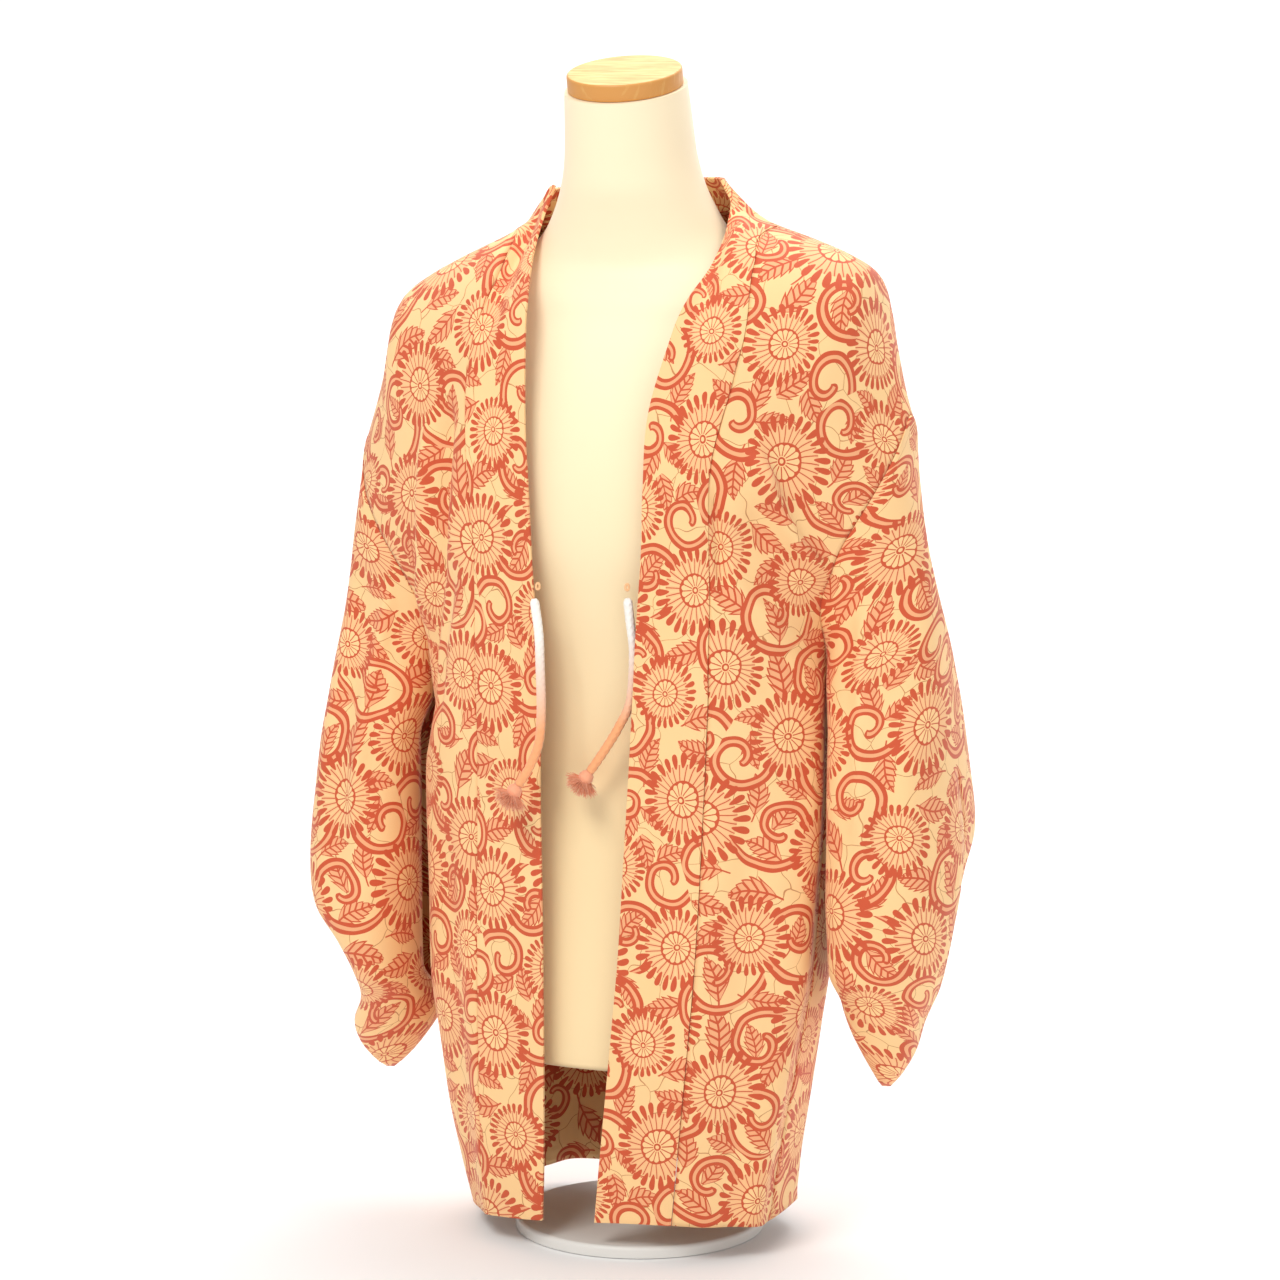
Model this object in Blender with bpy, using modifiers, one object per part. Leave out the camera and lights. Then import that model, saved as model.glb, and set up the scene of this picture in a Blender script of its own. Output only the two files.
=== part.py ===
"""A haori jacket on a limbless dress form with a short stand.

Metres, +Z up. The wearer faces -Y and the wearer's left is +X. The origin is at the
centre of the stand's underside.

The cloth is drawn upright and then tilted sideways by LEAN, because the jacket has
slipped a little towards the wearer's right. The body surface is one function of a
column c, from the centre (0) to the armhole (1) along the shoulder fold, and a row t,
from the shoulder fold (0) to the hem (1). Each cut piece is a stretch of that surface.
"""

import math

import bmesh
import bpy
from mathutils import Vector

# ---------------------------------------------------------------- driving dimensions
SEAM = 0.0003  # gap between neighbouring pieces
COLLAR_CLEAR = 0.0007  # gap between the collar and a panel, along the cloth
NECK_CLEAR = 0.0038  # and between the collar and the back's neckline
GUSSET_CLEAR = 0.0007
GUSSET_BOW = 0.0012  # how far the gusset bows out between its seams
GUSSET_DROP = 0.006  # its top below the foot of the armhole
CLOTH = 0.0018  # wall of the silk
COLLAR_WALL = 0.0040  # the collar is folded double
LEAN = 0.07  # rise of the cloth for each metre towards the wearer's left
SLIP = -0.005  # how far the jacket has slipped towards the wearer's right
SLIP_BELOW = 0.76  # the ends of the shoulders slip only below this height
ROUND = 2.4  # exponent of the body's oval sections

HEM = 0.030  # height of the level hem
HEM_DIP = {"right": 0.004, "left": 0.014}  # drop of the hem at the side seams
SHOULDER_EASE = 0.17  # depth over which columns leave the shoulder for the body's side
FRONT_ROLL = 0.11  # depth of the cloth's roll over the front of the shoulder
BACK_ROLL = 0.075  # and over the back
STAND_X = (0.080, 0.104)  # inside the first the collar stands up, beyond the second not
ARMHOLE = 0.215  # depth of the armhole seam below the end of the shoulder
COLLAR_WIDTH = 0.065
COLLAR_NECK = 0.0475  # the collar's width where it is folded in half at the neck
COLLAR_OPENS = 0.13  # drop over which it opens to its full width
NECKLINE_X = 0.1060  # where the neckline crosses the shoulder fold
NECKLINE_BACK = 0.851  # height of the neckline at the centre of the back
NECKLINE_SIDE = 0.8435  # and where it crosses the shoulder fold
COLLAR_TOP_X = 0.0745  # where the collar's inner edge crosses the shoulder fold
COLLAR_TOP_Z = 0.8765
COLLAR_BACK_Y = 0.060  # its inner edge behind the neck
COLLAR_BACK_Z = 0.878

BASE_RADIUS = 0.105
BASE_HEIGHT = 0.010
BASE_BEVEL = 0.0025
POLE_RADIUS = 0.013

CORD_DIAMETER = 0.0078
CORD_POINTS = 40
LOOP_RADIUS = 0.0050
LOOP_WIRE = 0.0013
LOOP_POINTS = 14
STRANDS = 44
STRAND_LENGTH = 0.0115
STRAND_RADIUS = 0.0007
STRAND_SPREAD = math.radians(62)  # half angle of the tassel's cone
STRAND_ROOT = 0.72  # depth of the roots, as a share of the head's radius
STRAND_DROOP = 0.0020
TASSEL_HEAD = 0.0058

# The shoulder fold, from the centre of the neck out to the top of the armhole.
SHOULDER = (
    # x, z
    (0.0000, 0.8840),
    (0.0500, 0.8835),
    (0.0690, 0.8800),
    (0.0745, 0.8765),
    (0.0785, 0.8690),
    (0.0830, 0.8610),
    (0.0887, 0.8535),
    (0.1000, 0.8460),
    (0.1140, 0.8395),
    (0.1500, 0.8250),
    (0.1800, 0.8110),
    (0.2000, 0.7970),
    (0.2070, 0.7780),
    (0.2140, 0.7490),
    (0.2255, 0.7110),
    (0.2365, 0.6790),
)

# Level sections of the body's cloth.
BODY = (
    # z, half_right, half_left, front_depth, back_depth, front_edge_y, back_edge_y
    (0.0250, 0.1390, 0.1390, 0.106, 0.102, 0.034, 0.034),
    (0.0650, 0.1475, 0.1430, 0.109, 0.105, 0.032, 0.032),
    (0.1150, 0.1575, 0.1500, 0.112, 0.108, 0.029, 0.029),
    (0.1750, 0.1660, 0.1590, 0.115, 0.110, 0.026, 0.026),
    (0.2250, 0.1725, 0.1660, 0.117, 0.110, 0.023, 0.023),
    (0.3450, 0.1750, 0.1720, 0.121, 0.108, 0.017, 0.017),
    (0.4350, 0.1750, 0.1740, 0.124, 0.106, 0.012, 0.012),
    (0.4640, 0.1750, 0.1750, 0.125, 0.106, 0.011, 0.011),
    (0.5050, 0.1750, 0.1750, 0.127, 0.107, 0.028, 0.030),
    (0.5450, 0.1760, 0.1760, 0.128, 0.108, 0.042, 0.044),
    (0.5850, 0.1770, 0.1770, 0.130, 0.110, 0.048, 0.052),
    (0.6250, 0.1790, 0.1790, 0.132, 0.113, 0.046, 0.050),
    (0.6550, 0.1790, 0.1790, 0.131, 0.114, 0.036, 0.042),
    (0.6850, 0.1790, 0.1800, 0.128, 0.114, 0.024, 0.030),
    (0.7450, 0.1840, 0.1860, 0.116, 0.108, 0.018, 0.022),
    (0.8050, 0.2000, 0.2000, 0.100, 0.102, 0.024, 0.026),
    (0.8850, 0.2200, 0.2200, 0.080, 0.092, 0.024, 0.026),
)

# How far the fronts flare out beside the side edge, over the sleeve.
FLARE = (
    # z, wearer_right, wearer_left
    (0.0200, 0.0000, 0.0260),
    (0.1000, 0.0000, 0.0240),
    (0.2500, 0.0000, 0.0220),
    (0.3800, 0.0000, 0.0200),
    (0.4500, 0.0000, 0.0120),
    (0.5000, 0.0000, 0.0000),
)
FLARE_DEPTH = 0.050  # depth in front of the side edge at which the flare is full

# The collar's inner edges, down the two sides of the opening.
OPENING = (
    # z, wearer_right, wearer_left
    (0.0300, -0.0480, -0.0010),
    (0.0850, -0.0450, 0.0050),
    (0.1650, -0.0430, 0.0140),
    (0.2600, -0.0420, 0.0240),
    (0.3850, -0.0420, 0.0330),
    (0.4650, -0.0410, 0.0385),
    (0.5250, -0.0430, 0.0420),
    (0.5850, -0.0460, 0.0470),
    (0.6400, -0.0480, 0.0490),
    (0.7000, -0.0535, 0.0515),
    (0.7600, -0.0580, 0.0660),
    (0.7900, -0.0610, 0.0740),
    (0.8100, -0.0665, 0.0800),
    (0.8305, -0.0730, 0.0830),
    (0.8450, -0.0765, 0.0810),
    (0.8570, -0.0780, 0.0790),
    (0.8660, -0.0770, 0.0770),
    (0.8765, -0.0745, 0.0745),
)

# Level sections of the sleeves. Below the open side the inner edge is given too.
SLEEVES = {
    "right": (
        # z, outer_x, front_depth, back_depth, cuff_gap, inner_x, cuff_shift
        (0.1330, 0.2320, 0.004, 0.005, 0.000, 0.2250, 0.000),
        (0.1420, 0.2420, 0.012, 0.014, 0.000, 0.2140, 0.000),
        (0.1580, 0.2530, 0.024, 0.030, 0.000, 0.2000, 0.000),
        (0.1780, 0.2560, 0.037, 0.050, 0.000, 0.1880, 0.000),
        (0.2000, 0.2440, 0.050, 0.068, 0.006, 0.1850, 0.000),
        (0.2250, 0.2370, 0.058, 0.082, 0.022, 0.1870, 0.000),
        (0.2600, 0.2480, 0.066, 0.092, 0.034, 0.1880, 0.000),
        (0.2900, 0.2700, 0.070, 0.096, 0.030, 0.1880, 0.000),
        (0.3250, 0.2850, 0.070, 0.098, 0.004, 0.1880, 0.000),
        (0.3850, 0.2820, 0.066, 0.094, 0.000, 0.1880, 0.000),
        (0.4650, 0.2730, 0.052, 0.080, 0.000, 0.1880, 0.000),
        (0.5350, 0.2620, 0.038, 0.058, 0.000, 0.1880, 0.000),
        (0.5950, 0.2520, 0.028, 0.040, 0.000, 0.1880, 0.000),
        (0.6450, 0.2430, 0.014, 0.020, 0.000, 0.1880, 0.000),
        (0.6720, 0.2400, 0.004, 0.006, 0.000, 0.1880, 0.000),
    ),
    "left": (
        # z, outer_x, front_depth, back_depth, cuff_gap, inner_x, cuff_shift
        (0.1240, 0.2200, 0.004, 0.005, 0.000, 0.2130, 0.000),
        (0.1340, 0.2290, 0.012, 0.014, 0.000, 0.2080, 0.000),
        (0.1520, 0.2390, 0.024, 0.032, 0.000, 0.1990, 0.000),
        (0.1760, 0.2450, 0.038, 0.052, 0.000, 0.1890, 0.000),
        (0.2000, 0.2570, 0.052, 0.068, 0.004, 0.1830, 0.004),
        (0.2300, 0.2670, 0.060, 0.080, 0.014, 0.1790, 0.014),
        (0.2600, 0.2730, 0.066, 0.090, 0.020, 0.1775, 0.020),
        (0.2900, 0.2780, 0.070, 0.094, 0.018, 0.1765, 0.018),
        (0.3300, 0.2785, 0.070, 0.096, 0.003, 0.1765, 0.010),
        (0.3850, 0.2730, 0.066, 0.092, 0.000, 0.1765, 0.004),
        (0.4650, 0.2640, 0.052, 0.078, 0.000, 0.1765, 0.000),
        (0.5350, 0.2530, 0.038, 0.056, 0.000, 0.1765, 0.000),
        (0.5950, 0.2405, 0.028, 0.040, 0.000, 0.1765, 0.000),
        (0.6450, 0.2325, 0.014, 0.020, 0.000, 0.1765, 0.000),
        (0.6720, 0.2310, 0.004, 0.006, 0.000, 0.1765, 0.000),
    ),
}
SLEEVE_CLEAR = 0.0030  # between the body's side and the sleeve's inner edge
CUFF_TUCK = {"right": 0.0, "left": 0.9}  # set-back of the cuff's back edge for its gap
FURI_OPENS = 0.03  # length over which it opens out
FURI_HALF = 0.024  # half the width of the sleeve's open side, next to the body
FURI_BLEND = 0.05  # length over which the open side closes up to the armhole
ARMHOLE_BLEND = 0.11  # height over which the sleeve's rounded top begins
SLEEVE_TOP = 0.035  # height over which the sleeve narrows to the end of the shoulder
FURI_TOP = 0.425  # height of the top of the open side
FURI_CLOSED = 0.200  # height below which the sleeve's inner side is sewn shut

# The largest folds, as soft ridges (+) or troughs (-) on the front or back.
FOLDS = (
    # piece, path of x and z, width, height
    ("front_right", ((0.127, 0.720), (0.135, 0.600), (0.158, 0.505), (0.172, 0.415)), 0.009, -0.011),
    ("front_left", ((0.126, 0.675), (0.143, 0.626), (0.156, 0.589), (0.180, 0.553)), 0.012, 0.010),
    ("front_left", ((0.118, 0.615), (0.140, 0.570), (0.156, 0.525)), 0.018, -0.006),
    ("front_left", ((0.140, 0.405), (0.120, 0.015)), 0.016, -0.006),
    ("front_right", ((0.140, 0.365), (0.122, 0.015)), 0.015, -0.005),
    ("back_right", ((0.120, 0.685), (0.085, 0.015)), 0.017, 0.009),
    ("back_right", ((0.075, 0.625), (0.050, 0.015)), 0.015, -0.007),
    ("back_right", ((0.040, 0.505), (0.018, 0.015)), 0.014, 0.006),
    ("back_left", ((0.110, 0.685), (0.078, 0.015)), 0.016, 0.008),
    ("back_left", ((0.070, 0.585), (0.042, 0.015)), 0.014, -0.007),
    ("back_left", ((0.145, 0.545), (0.118, 0.015)), 0.014, -0.006),
    ("sleeve_front_right", ((0.236, 0.585), (0.242, 0.285)), 0.014, -0.006),
    ("sleeve_front_left", ((0.232, 0.585), (0.238, 0.285)), 0.016, -0.003),
    ("sleeve_back_right", ((0.230, 0.585), (0.234, 0.205)), 0.012, -0.014),
    ("sleeve_back_left", ((0.230, 0.585), (0.238, 0.205)), 0.012, -0.014),
)
FOLD_END = 0.045  # length over which a fold dies out

# Level sections of the dress form, from its base up to the neck.
FORM = (
    # z, half_width, front_depth, back_depth, centre_y, exponent
    (0.1550, 0.1360, 0.0960, 0.0930, -0.002, 2.3),
    (0.2150, 0.1410, 0.0980, 0.0960, -0.001, 2.3),
    (0.2850, 0.1410, 0.0980, 0.0960, 0.000, 2.3),
    (0.3650, 0.1340, 0.0960, 0.0900, 0.000, 2.3),
    (0.4350, 0.1260, 0.0940, 0.0840, 0.000, 2.3),
    (0.4950, 0.1250, 0.0970, 0.0840, 0.000, 2.3),
    (0.5450, 0.1350, 0.1060, 0.0870, 0.000, 2.3),
    (0.5950, 0.1460, 0.1170, 0.0930, 0.000, 2.3),
    (0.6350, 0.1520, 0.1190, 0.0970, 0.000, 2.3),
    (0.6750, 0.1570, 0.1120, 0.0980, 0.000, 2.3),
    (0.7150, 0.1660, 0.1000, 0.0950, 0.000, 2.3),
    (0.7500, 0.1740, 0.0860, 0.0860, 0.000, 2.4),
    (0.7700, 0.1720, 0.0760, 0.0770, 0.000, 2.4),
    (0.7900, 0.1650, 0.0680, 0.0690, 0.000, 2.3),
    (0.8050, 0.1340, 0.0590, 0.0620, 0.000, 2.2),
    (0.8160, 0.1070, 0.0550, 0.0580, 0.000, 2.1),
    (0.8270, 0.0905, 0.0530, 0.0550, -0.002, 2.0),
    (0.8380, 0.0795, 0.0520, 0.0530, -0.004, 2.0),
    (0.8500, 0.0720, 0.0520, 0.0510, -0.007, 2.0),
    (0.8620, 0.0660, 0.0530, 0.0505, -0.010, 2.0),
    (0.8750, 0.0605, 0.0545, 0.0515, -0.014, 2.0),
    (0.8900, 0.0565, 0.0530, 0.0525, -0.018, 2.0),
    (0.9050, 0.0540, 0.0520, 0.0520, -0.022, 2.0),
    (0.9420, 0.0500, 0.0500, 0.0500, -0.033, 2.0),
)
FORM_SIDES = 36
FORM_BOTTOM = FORM[0][0]
CAP_RADIUS = 0.0470
CAP_HEIGHT = 0.0140
CAP_TILT = math.radians(13.7)
CAP_CENTRE = (0.0, -0.0340, 0.9570)  # middle of the cap's underside
CAP_BEVEL = 0.0012

# The two cords, from their loops down to their tassels.
CORD_ROUTES = {
    "right": (
        (-0.0400, -0.1385, 0.5520),
        (-0.0360, -0.1390, 0.5250),
        (-0.0350, -0.1385, 0.4960),
        (-0.0346, -0.1375, 0.4610),
        (-0.0362, -0.1390, 0.4350),
        (-0.0435, -0.1410, 0.4150),
        (-0.0525, -0.1430, 0.4000),
    ),
    "left": (
        (0.0345, -0.1240, 0.5540),
        (0.0352, -0.1200, 0.5350),
        (0.0368, -0.1165, 0.5080),
        (0.0340, -0.1160, 0.4700),
        (0.0245, -0.1170, 0.4480),
        (0.0130, -0.1175, 0.4290),
        (0.0000, -0.1180, 0.4100),
    ),
}
LOOP_CENTRES = {
    "right": (-0.0385, -0.1340, 0.5615),
    "left": (0.0355, -0.1275, 0.5635),
}

COLOURS = {
    "silk": ((0.93, 0.55, 0.30), 0.75),
    "silk_collar": ((0.90, 0.48, 0.26), 0.75),
    "satin": ((0.96, 0.88, 0.70), 0.50),
    "pale_wood": ((0.90, 0.68, 0.36), 0.45),
    "white_metal": ((0.90, 0.88, 0.84), 0.40),
    "braid": ((0.93, 0.55, 0.38), 0.70),
    "tassel_silk": ((0.93, 0.46, 0.30), 0.80),
}


# ------------------------------------------------------------------- small functions
def clamp(value, low=0.0, high=1.0):
    return max(low, min(high, value))


def ease(value):
    """0 to 1 with level ends."""
    value = clamp(value)
    return value * value * (3.0 - 2.0 * value)


def mix(first, second, share):
    return first + (second - first) * share


def read_table(rows, key, column):
    """The table's column at key, on a smooth curve through its rows."""
    if key <= rows[0][0]:
        return rows[0][column]
    if key >= rows[-1][0]:
        return rows[-1][column]
    last = len(rows) - 1
    low = max(i for i in range(last) if rows[i][0] <= key)
    before = rows[max(low - 1, 0)]
    start = rows[low]
    end = rows[low + 1]
    after = rows[min(low + 2, last)]
    width = end[0] - start[0]
    share = (key - start[0]) / width
    slope_in = (end[column] - before[column]) / (end[0] - before[0])
    slope_out = (after[column] - start[column]) / (after[0] - start[0])
    square = share * share
    cube = square * share
    return (
        (2 * cube - 3 * square + 1) * start[column]
        + (cube - 2 * square + share) * width * slope_in
        + (3 * square - 2 * cube) * end[column]
        + (cube - square) * width * slope_out
    )


def power(value, exponent):
    return math.copysign(abs(value) ** exponent, value)


def solve(function, low, high, steps=36):
    """Where a rising function crosses zero between low and high."""
    for _ in range(steps):
        middle = (low + high) / 2
        if function(middle) > 0:
            high = middle
        else:
            low = middle
    return (low + high) / 2


def shoulder_rows():
    """The shoulder fold as rows of distance along it, x and z."""
    rows = [(0.0, *SHOULDER[0])]
    for x, z in SHOULDER[1:]:
        along = math.hypot(x - rows[-1][1], z - rows[-1][2])
        rows.append((rows[-1][0] + along, x, z))
    return tuple(rows)


SHOULDER_ROWS = shoulder_rows()
SHOULDER_LENGTH = SHOULDER_ROWS[-1][0]
SIGN = {"right": -1.0, "left": 1.0}


# ----------------------------------------------------------------- the body's surface
def fold_push(piece, x, z):
    """How far the folds push a point of the piece outwards."""
    push = 0.0
    for name, path, width, height in FOLDS:
        if name != piece:
            continue
        nearest = None
        travelled = 0.0
        for (x0, z0), (x1, z1) in zip(path, path[1:]):
            run = math.hypot(x1 - x0, z1 - z0)
            along = ((x - x0) * (x1 - x0) + (z - z0) * (z1 - z0)) / run
            held = clamp(along, 0.0, run)
            off = math.hypot(x - mix(x0, x1, held / run), z - mix(z0, z1, held / run))
            if nearest is None or off < nearest[0]:
                nearest = (off, travelled + held)
            travelled += run
        fade = ease((nearest[1] + 0.010) / FOLD_END)
        if path[-1][1] > HEM:
            fade *= ease((travelled - nearest[1] + 0.010) / FOLD_END)
        push += height * fade * math.exp(-((nearest[0] / width) ** 2))
    return push


def hem_height(side, c):
    """The hem dips towards the sides."""
    return HEM - HEM_DIP[side] * ease(c)


def body_point(side, face, c, t):
    """A point of the body's cloth: side right or left, face front or back."""
    shoulder_x = read_table(SHOULDER_ROWS, c * SHOULDER_LENGTH, 1)
    shoulder_z = read_table(SHOULDER_ROWS, c * SHOULDER_LENGTH, 2)
    drop = (shoulder_z - hem_height(side, c)) * t
    z = shoulder_z - drop
    half = read_table(BODY, z, 1 if side == "right" else 2)
    depth = read_table(BODY, z, 3 if face == "front" else 4)
    edge = read_table(BODY, z, 5 if face == "front" else 6)
    last_angle = math.acos(clamp(edge / depth) ** (ROUND / 2))
    angle = last_angle * c
    eased = ease(drop / SHOULDER_EASE)
    x = mix(shoulder_x, half * power(math.sin(angle), 2 / ROUND), eased)
    roll = FRONT_ROLL if face == "front" else BACK_ROLL
    out = clamp(1.0 - drop / roll)
    rolled = math.sqrt(1.0 - out * out)
    stands = 1.0 - ease((shoulder_x - STAND_X[0]) / (STAND_X[1] - STAND_X[0]))
    steep = 1.35 if face == "front" else 1.1
    rolled = mix(rolled, math.cos(math.pi / 2 * out) ** steep, stands)
    y = depth * power(math.cos(angle), 2 / ROUND) * rolled
    if face == "front":
        flare = read_table(FLARE, z, 1 if side == "right" else 2)
        x += flare * math.sin(angle) * ease((y - edge) / FLARE_DEPTH)
    push = fold_push(face + "_" + side, x, z)
    x += push * math.sin(angle) * ease(drop / 0.05)
    y += push * math.cos(angle) * ease(drop / 0.05)
    held = (1.0 - eased) * (1.0 - ease((SLIP_BELOW - z) / 0.08))
    slip = SLIP * (1.0 - c * c * held)
    y = y if face == "back" else -y
    return Vector((SIGN[side] * x + slip, y, z))


def leant(point):
    """A cloth point after the jacket's sideways tilt."""
    return Vector((point.x, point.y, point.z + LEAN * point.x))


def row_at(side, z):
    """The row of the panels' side edge at height z."""
    return clamp((SHOULDER[-1][1] - z) / (SHOULDER[-1][1] - hem_height(side, 1.0)))


def opening_x(side, z):
    return read_table(OPENING, z, 1 if side == "right" else 2)


def collar_inner(side, t):
    """The column of the collar's inner edge in row t of the front."""

    def beyond(c):
        point = body_point(side, "front", c, t)
        return SIGN[side] * (point.x - opening_x(side, point.z))

    return solve(beyond, 0.0, 0.9)


def collar_outer(side, t, inner):
    """The column of the collar's seam in row t, its width further out."""
    start = body_point(side, "front", inner, t)
    width = mix(COLLAR_NECK, COLLAR_WIDTH, ease((COLLAR_TOP_Z - start.z) / COLLAR_OPENS))
    step = 0.004
    along = 0.0
    c = inner
    while along < width and c < 0.9:
        following = body_point(side, "front", c + step, t)
        length = (following - start).length
        if along + length > width:
            return c + step * (width - along) / length
        along += length
        c += step
        start = following
    return c


NECK_COLUMN = solve(
    lambda c: read_table(SHOULDER_ROWS, c * SHOULDER_LENGTH, 1) - NECKLINE_X, 0.0, 0.9
)


def edge_gap(edge, following, wall):
    """How far a sheet's edge stays off the seam's plane, which faces along Y."""
    tangent = (following - edge).normalized()
    return SEAM / 2 + wall / 2 * math.sqrt(clamp(1.0 - tangent.y * tangent.y))


def part_at_shoulder(grid, wall, sign):
    """Moves the first row off the shoulder fold, front (-1) or back (+1)."""
    for k, point in enumerate(grid[0]):
        point.y += sign * edge_gap(point, grid[1][k], wall)
    return grid


def rows_down(count, bunch=1.35):
    """Row values from the shoulder to the hem, closer together at the shoulder."""
    return [(i / count) ** bunch for i in range(count + 1)]


def front_grid(side, rows=26, columns=9):
    """The front panel's points, rows of columns from the collar seam to the side."""
    grid = []
    for t in rows_down(rows):
        inner = collar_inner(side, t)
        seam = max(collar_outer(side, t, inner), NECK_COLUMN if t == 0.0 else 0.0)
        start = body_point(side, "front", seam, t)
        end = body_point(side, "front", 1.0, t)
        gap = COLLAR_CLEAR / max((end - start).length, 0.01)
        columns_here = [mix(seam + gap, 1.0, j / columns) for j in range(columns + 1)]
        grid.append([body_point(side, "front", c, t) for c in columns_here])
    return part_at_shoulder(grid, CLOTH, -1.0)


def neckline_row(c):
    """The row at which the back's neckline cuts column c."""
    shoulder_x = read_table(SHOULDER_ROWS, c * SHOULDER_LENGTH, 1)
    shoulder_z = read_table(SHOULDER_ROWS, c * SHOULDER_LENGTH, 2)
    share = clamp(shoulder_x / NECKLINE_X)
    neckline = mix(NECKLINE_BACK, NECKLINE_SIDE, share * share)
    return clamp((shoulder_z - neckline) / (shoulder_z - hem_height("right", c)))


def back_grid(side, rows=24, columns=11):
    """A back half's points, from the centre seam to the side."""
    grid = []
    for t in rows_down(rows):
        line = []
        for j in range(columns + 1):
            c = j / columns
            top = neckline_row(c)
            line.append(body_point(side, "back", c, mix(top, 1.0, t)))
        line[0].x += SIGN[side] * SEAM
        grid.append(line)
    return part_at_shoulder(grid, CLOTH, 1.0)


def gusset_grid(side, rows=12, columns=3):
    """The gusset between front and back, from the foot of the armhole to the hem."""
    grid = []
    top = SHOULDER[-1][1] - ARMHOLE - GUSSET_DROP
    for i in range(rows + 1):
        t = row_at(side, mix(top, hem_height(side, 1.0), i / rows))
        front = body_point(side, "front", 1.0, t)
        back = body_point(side, "back", 1.0, t)
        gap = GUSSET_CLEAR / (back - front).length
        line = []
        for j in range(columns + 1):
            share = mix(gap, 1.0 - gap, j / columns)
            point = front.lerp(back, share)
            bow = GUSSET_BOW * math.sin(math.pi * share)
            line.append(point + Vector((SIGN[side] * bow, 0, 0)))
        grid.append(line)
    return grid


def collar_front_grid(side, rows=28, columns=2):
    """The collar down one front, from the shoulder fold to the hem."""
    grid = []
    for t in rows_down(rows):
        inner = collar_inner(side, t)
        outer = max(collar_outer(side, t, inner), NECK_COLUMN if t == 0.0 else 0.0)
        line = [
            body_point(side, "front", mix(inner, outer, j / columns), t)
            for j in range(columns + 1)
        ]
        grid.append(line)
    return part_at_shoulder(grid, COLLAR_WALL, -1.0)


def collar_back_grid(stations=18, columns=2):
    """The collar round the back of the neck, from one shoulder to the other."""
    grid = []
    for i in range(stations + 1):
        turn = mix(-1.0, 1.0, i / stations)
        side = "right" if turn < 0 else "left"
        c = NECK_COLUMN * abs(turn)
        seam = body_point(side, "back", c, neckline_row(c))
        angle = (1.0 - abs(turn)) * math.pi / 2
        top = Vector(
            (
                SIGN[side] * COLLAR_TOP_X * math.cos(angle) + SLIP,
                COLLAR_BACK_Y * math.sin(angle),
                mix(COLLAR_TOP_Z, COLLAR_BACK_Z, math.sin(angle)),
            )
        )
        away = (top - seam).normalized()
        seam = seam + away * NECK_CLEAR
        grid.append([seam.lerp(top, j / columns) for j in range(columns + 1)])
    for end, following in ((grid[0], grid[1]), (grid[-1], grid[-2])):
        for point, beyond in zip(end, following):
            point.y += edge_gap(point, beyond, COLLAR_WALL)
    return grid


# ------------------------------------------------------------------------ the sleeves
def sleeve_point(side, face, across, z):
    """A point of a sleeve: across runs from the body (0) to the outer fold (1)."""
    table = SLEEVES[side]
    outer = read_table(table, z, 1)
    depth = read_table(table, z, 2 if face == "front" else 3)
    cuff = max(0.0, read_table(table, z, 4))
    if face == "back":
        outer -= CUFF_TUCK[side] * cuff
    shift = read_table(table, z, 6)
    cuff += shift if face == "back" else -shift
    joint = body_point(side, face, 1.0, row_at(side, z))
    sewn = ease((z - FURI_TOP) / FURI_BLEND)
    inner = mix(read_table(table, z, 5), abs(joint.x) + SLEEVE_CLEAR, sewn)
    top = ease((z - SHOULDER[-1][1]) / SLEEVE_TOP + 1.0)
    outer = mix(outer, abs(joint.x) + SLEEVE_CLEAR + 0.0015, top)
    furi = ease((z - FURI_CLOSED) / FURI_OPENS) * FURI_HALF
    inner_y = mix(furi, abs(joint.y), sewn)
    # Beside the armhole the cloth runs straight on from the body, below it turns out.
    smooth = ease((z - SHOULDER[-1][1] + ARMHOLE) / ARMHOLE_BLEND)
    start = mix(0.0, math.pi / 2, smooth)
    depth = mix(depth, max(depth, inner_y), smooth)
    half = (outer - inner) / (1.0 + math.cos(start))
    angle = mix(start, math.pi, across)
    turned_out = outer - half * (1.0 + power(math.cos(angle), 2 / ROUND))
    straight_on = mix(inner, outer, math.sin(math.pi / 2 * across) ** 1.2)
    x = mix(turned_out, straight_on, smooth)
    lift = power(math.sin(start), 2 / ROUND)
    bulge = depth * power(math.sin(angle), 2 / ROUND)
    bulge += fold_push("sleeve_" + face + "_" + side, x, z) * ease(math.sin(angle) * 1.5)
    y = mix(inner_y - depth * lift, cuff, across) + bulge
    return Vector((SIGN[side] * x, y if face == "back" else -y, z))


def sleeve_grid(side, face, rows=22, columns=10):
    table = SLEEVES[side]
    sign = -1.0 if face == "front" else 1.0
    grid = []
    for i in range(rows + 1):
        z = mix(table[-1][0], table[0][0], i / rows)
        line = [sleeve_point(side, face, j / columns, z) for j in range(columns + 1)]
        line[0].y += sign * edge_gap(line[0], line[1], CLOTH)
        line[-1].y += sign * edge_gap(line[-1], line[-2], CLOTH)
        grid.append(line)
    return grid


# --------------------------------------------------------------------- making objects
def make_material(name):
    colour, roughness = COLOURS[name]
    material = bpy.data.materials.get(name) or bpy.data.materials.new(name)
    material.use_nodes = True
    shader = material.node_tree.nodes["Principled BSDF"]
    shader.inputs["Base Color"].default_value = (*colour, 1.0)
    shader.inputs["Roughness"].default_value = roughness
    shader.inputs["Metallic"].default_value = 0.0
    material.diffuse_color = (*colour, 1.0)
    return material


def add_object(name, mesh, material, collection):
    obj = bpy.data.objects.new(name, mesh)
    collection.objects.link(obj)
    obj.data.materials.append(make_material(material))
    return obj


def shade(mesh, angle=math.radians(35)):
    mesh.shade_smooth()
    mesh.set_sharp_from_angle(angle=angle)


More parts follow.
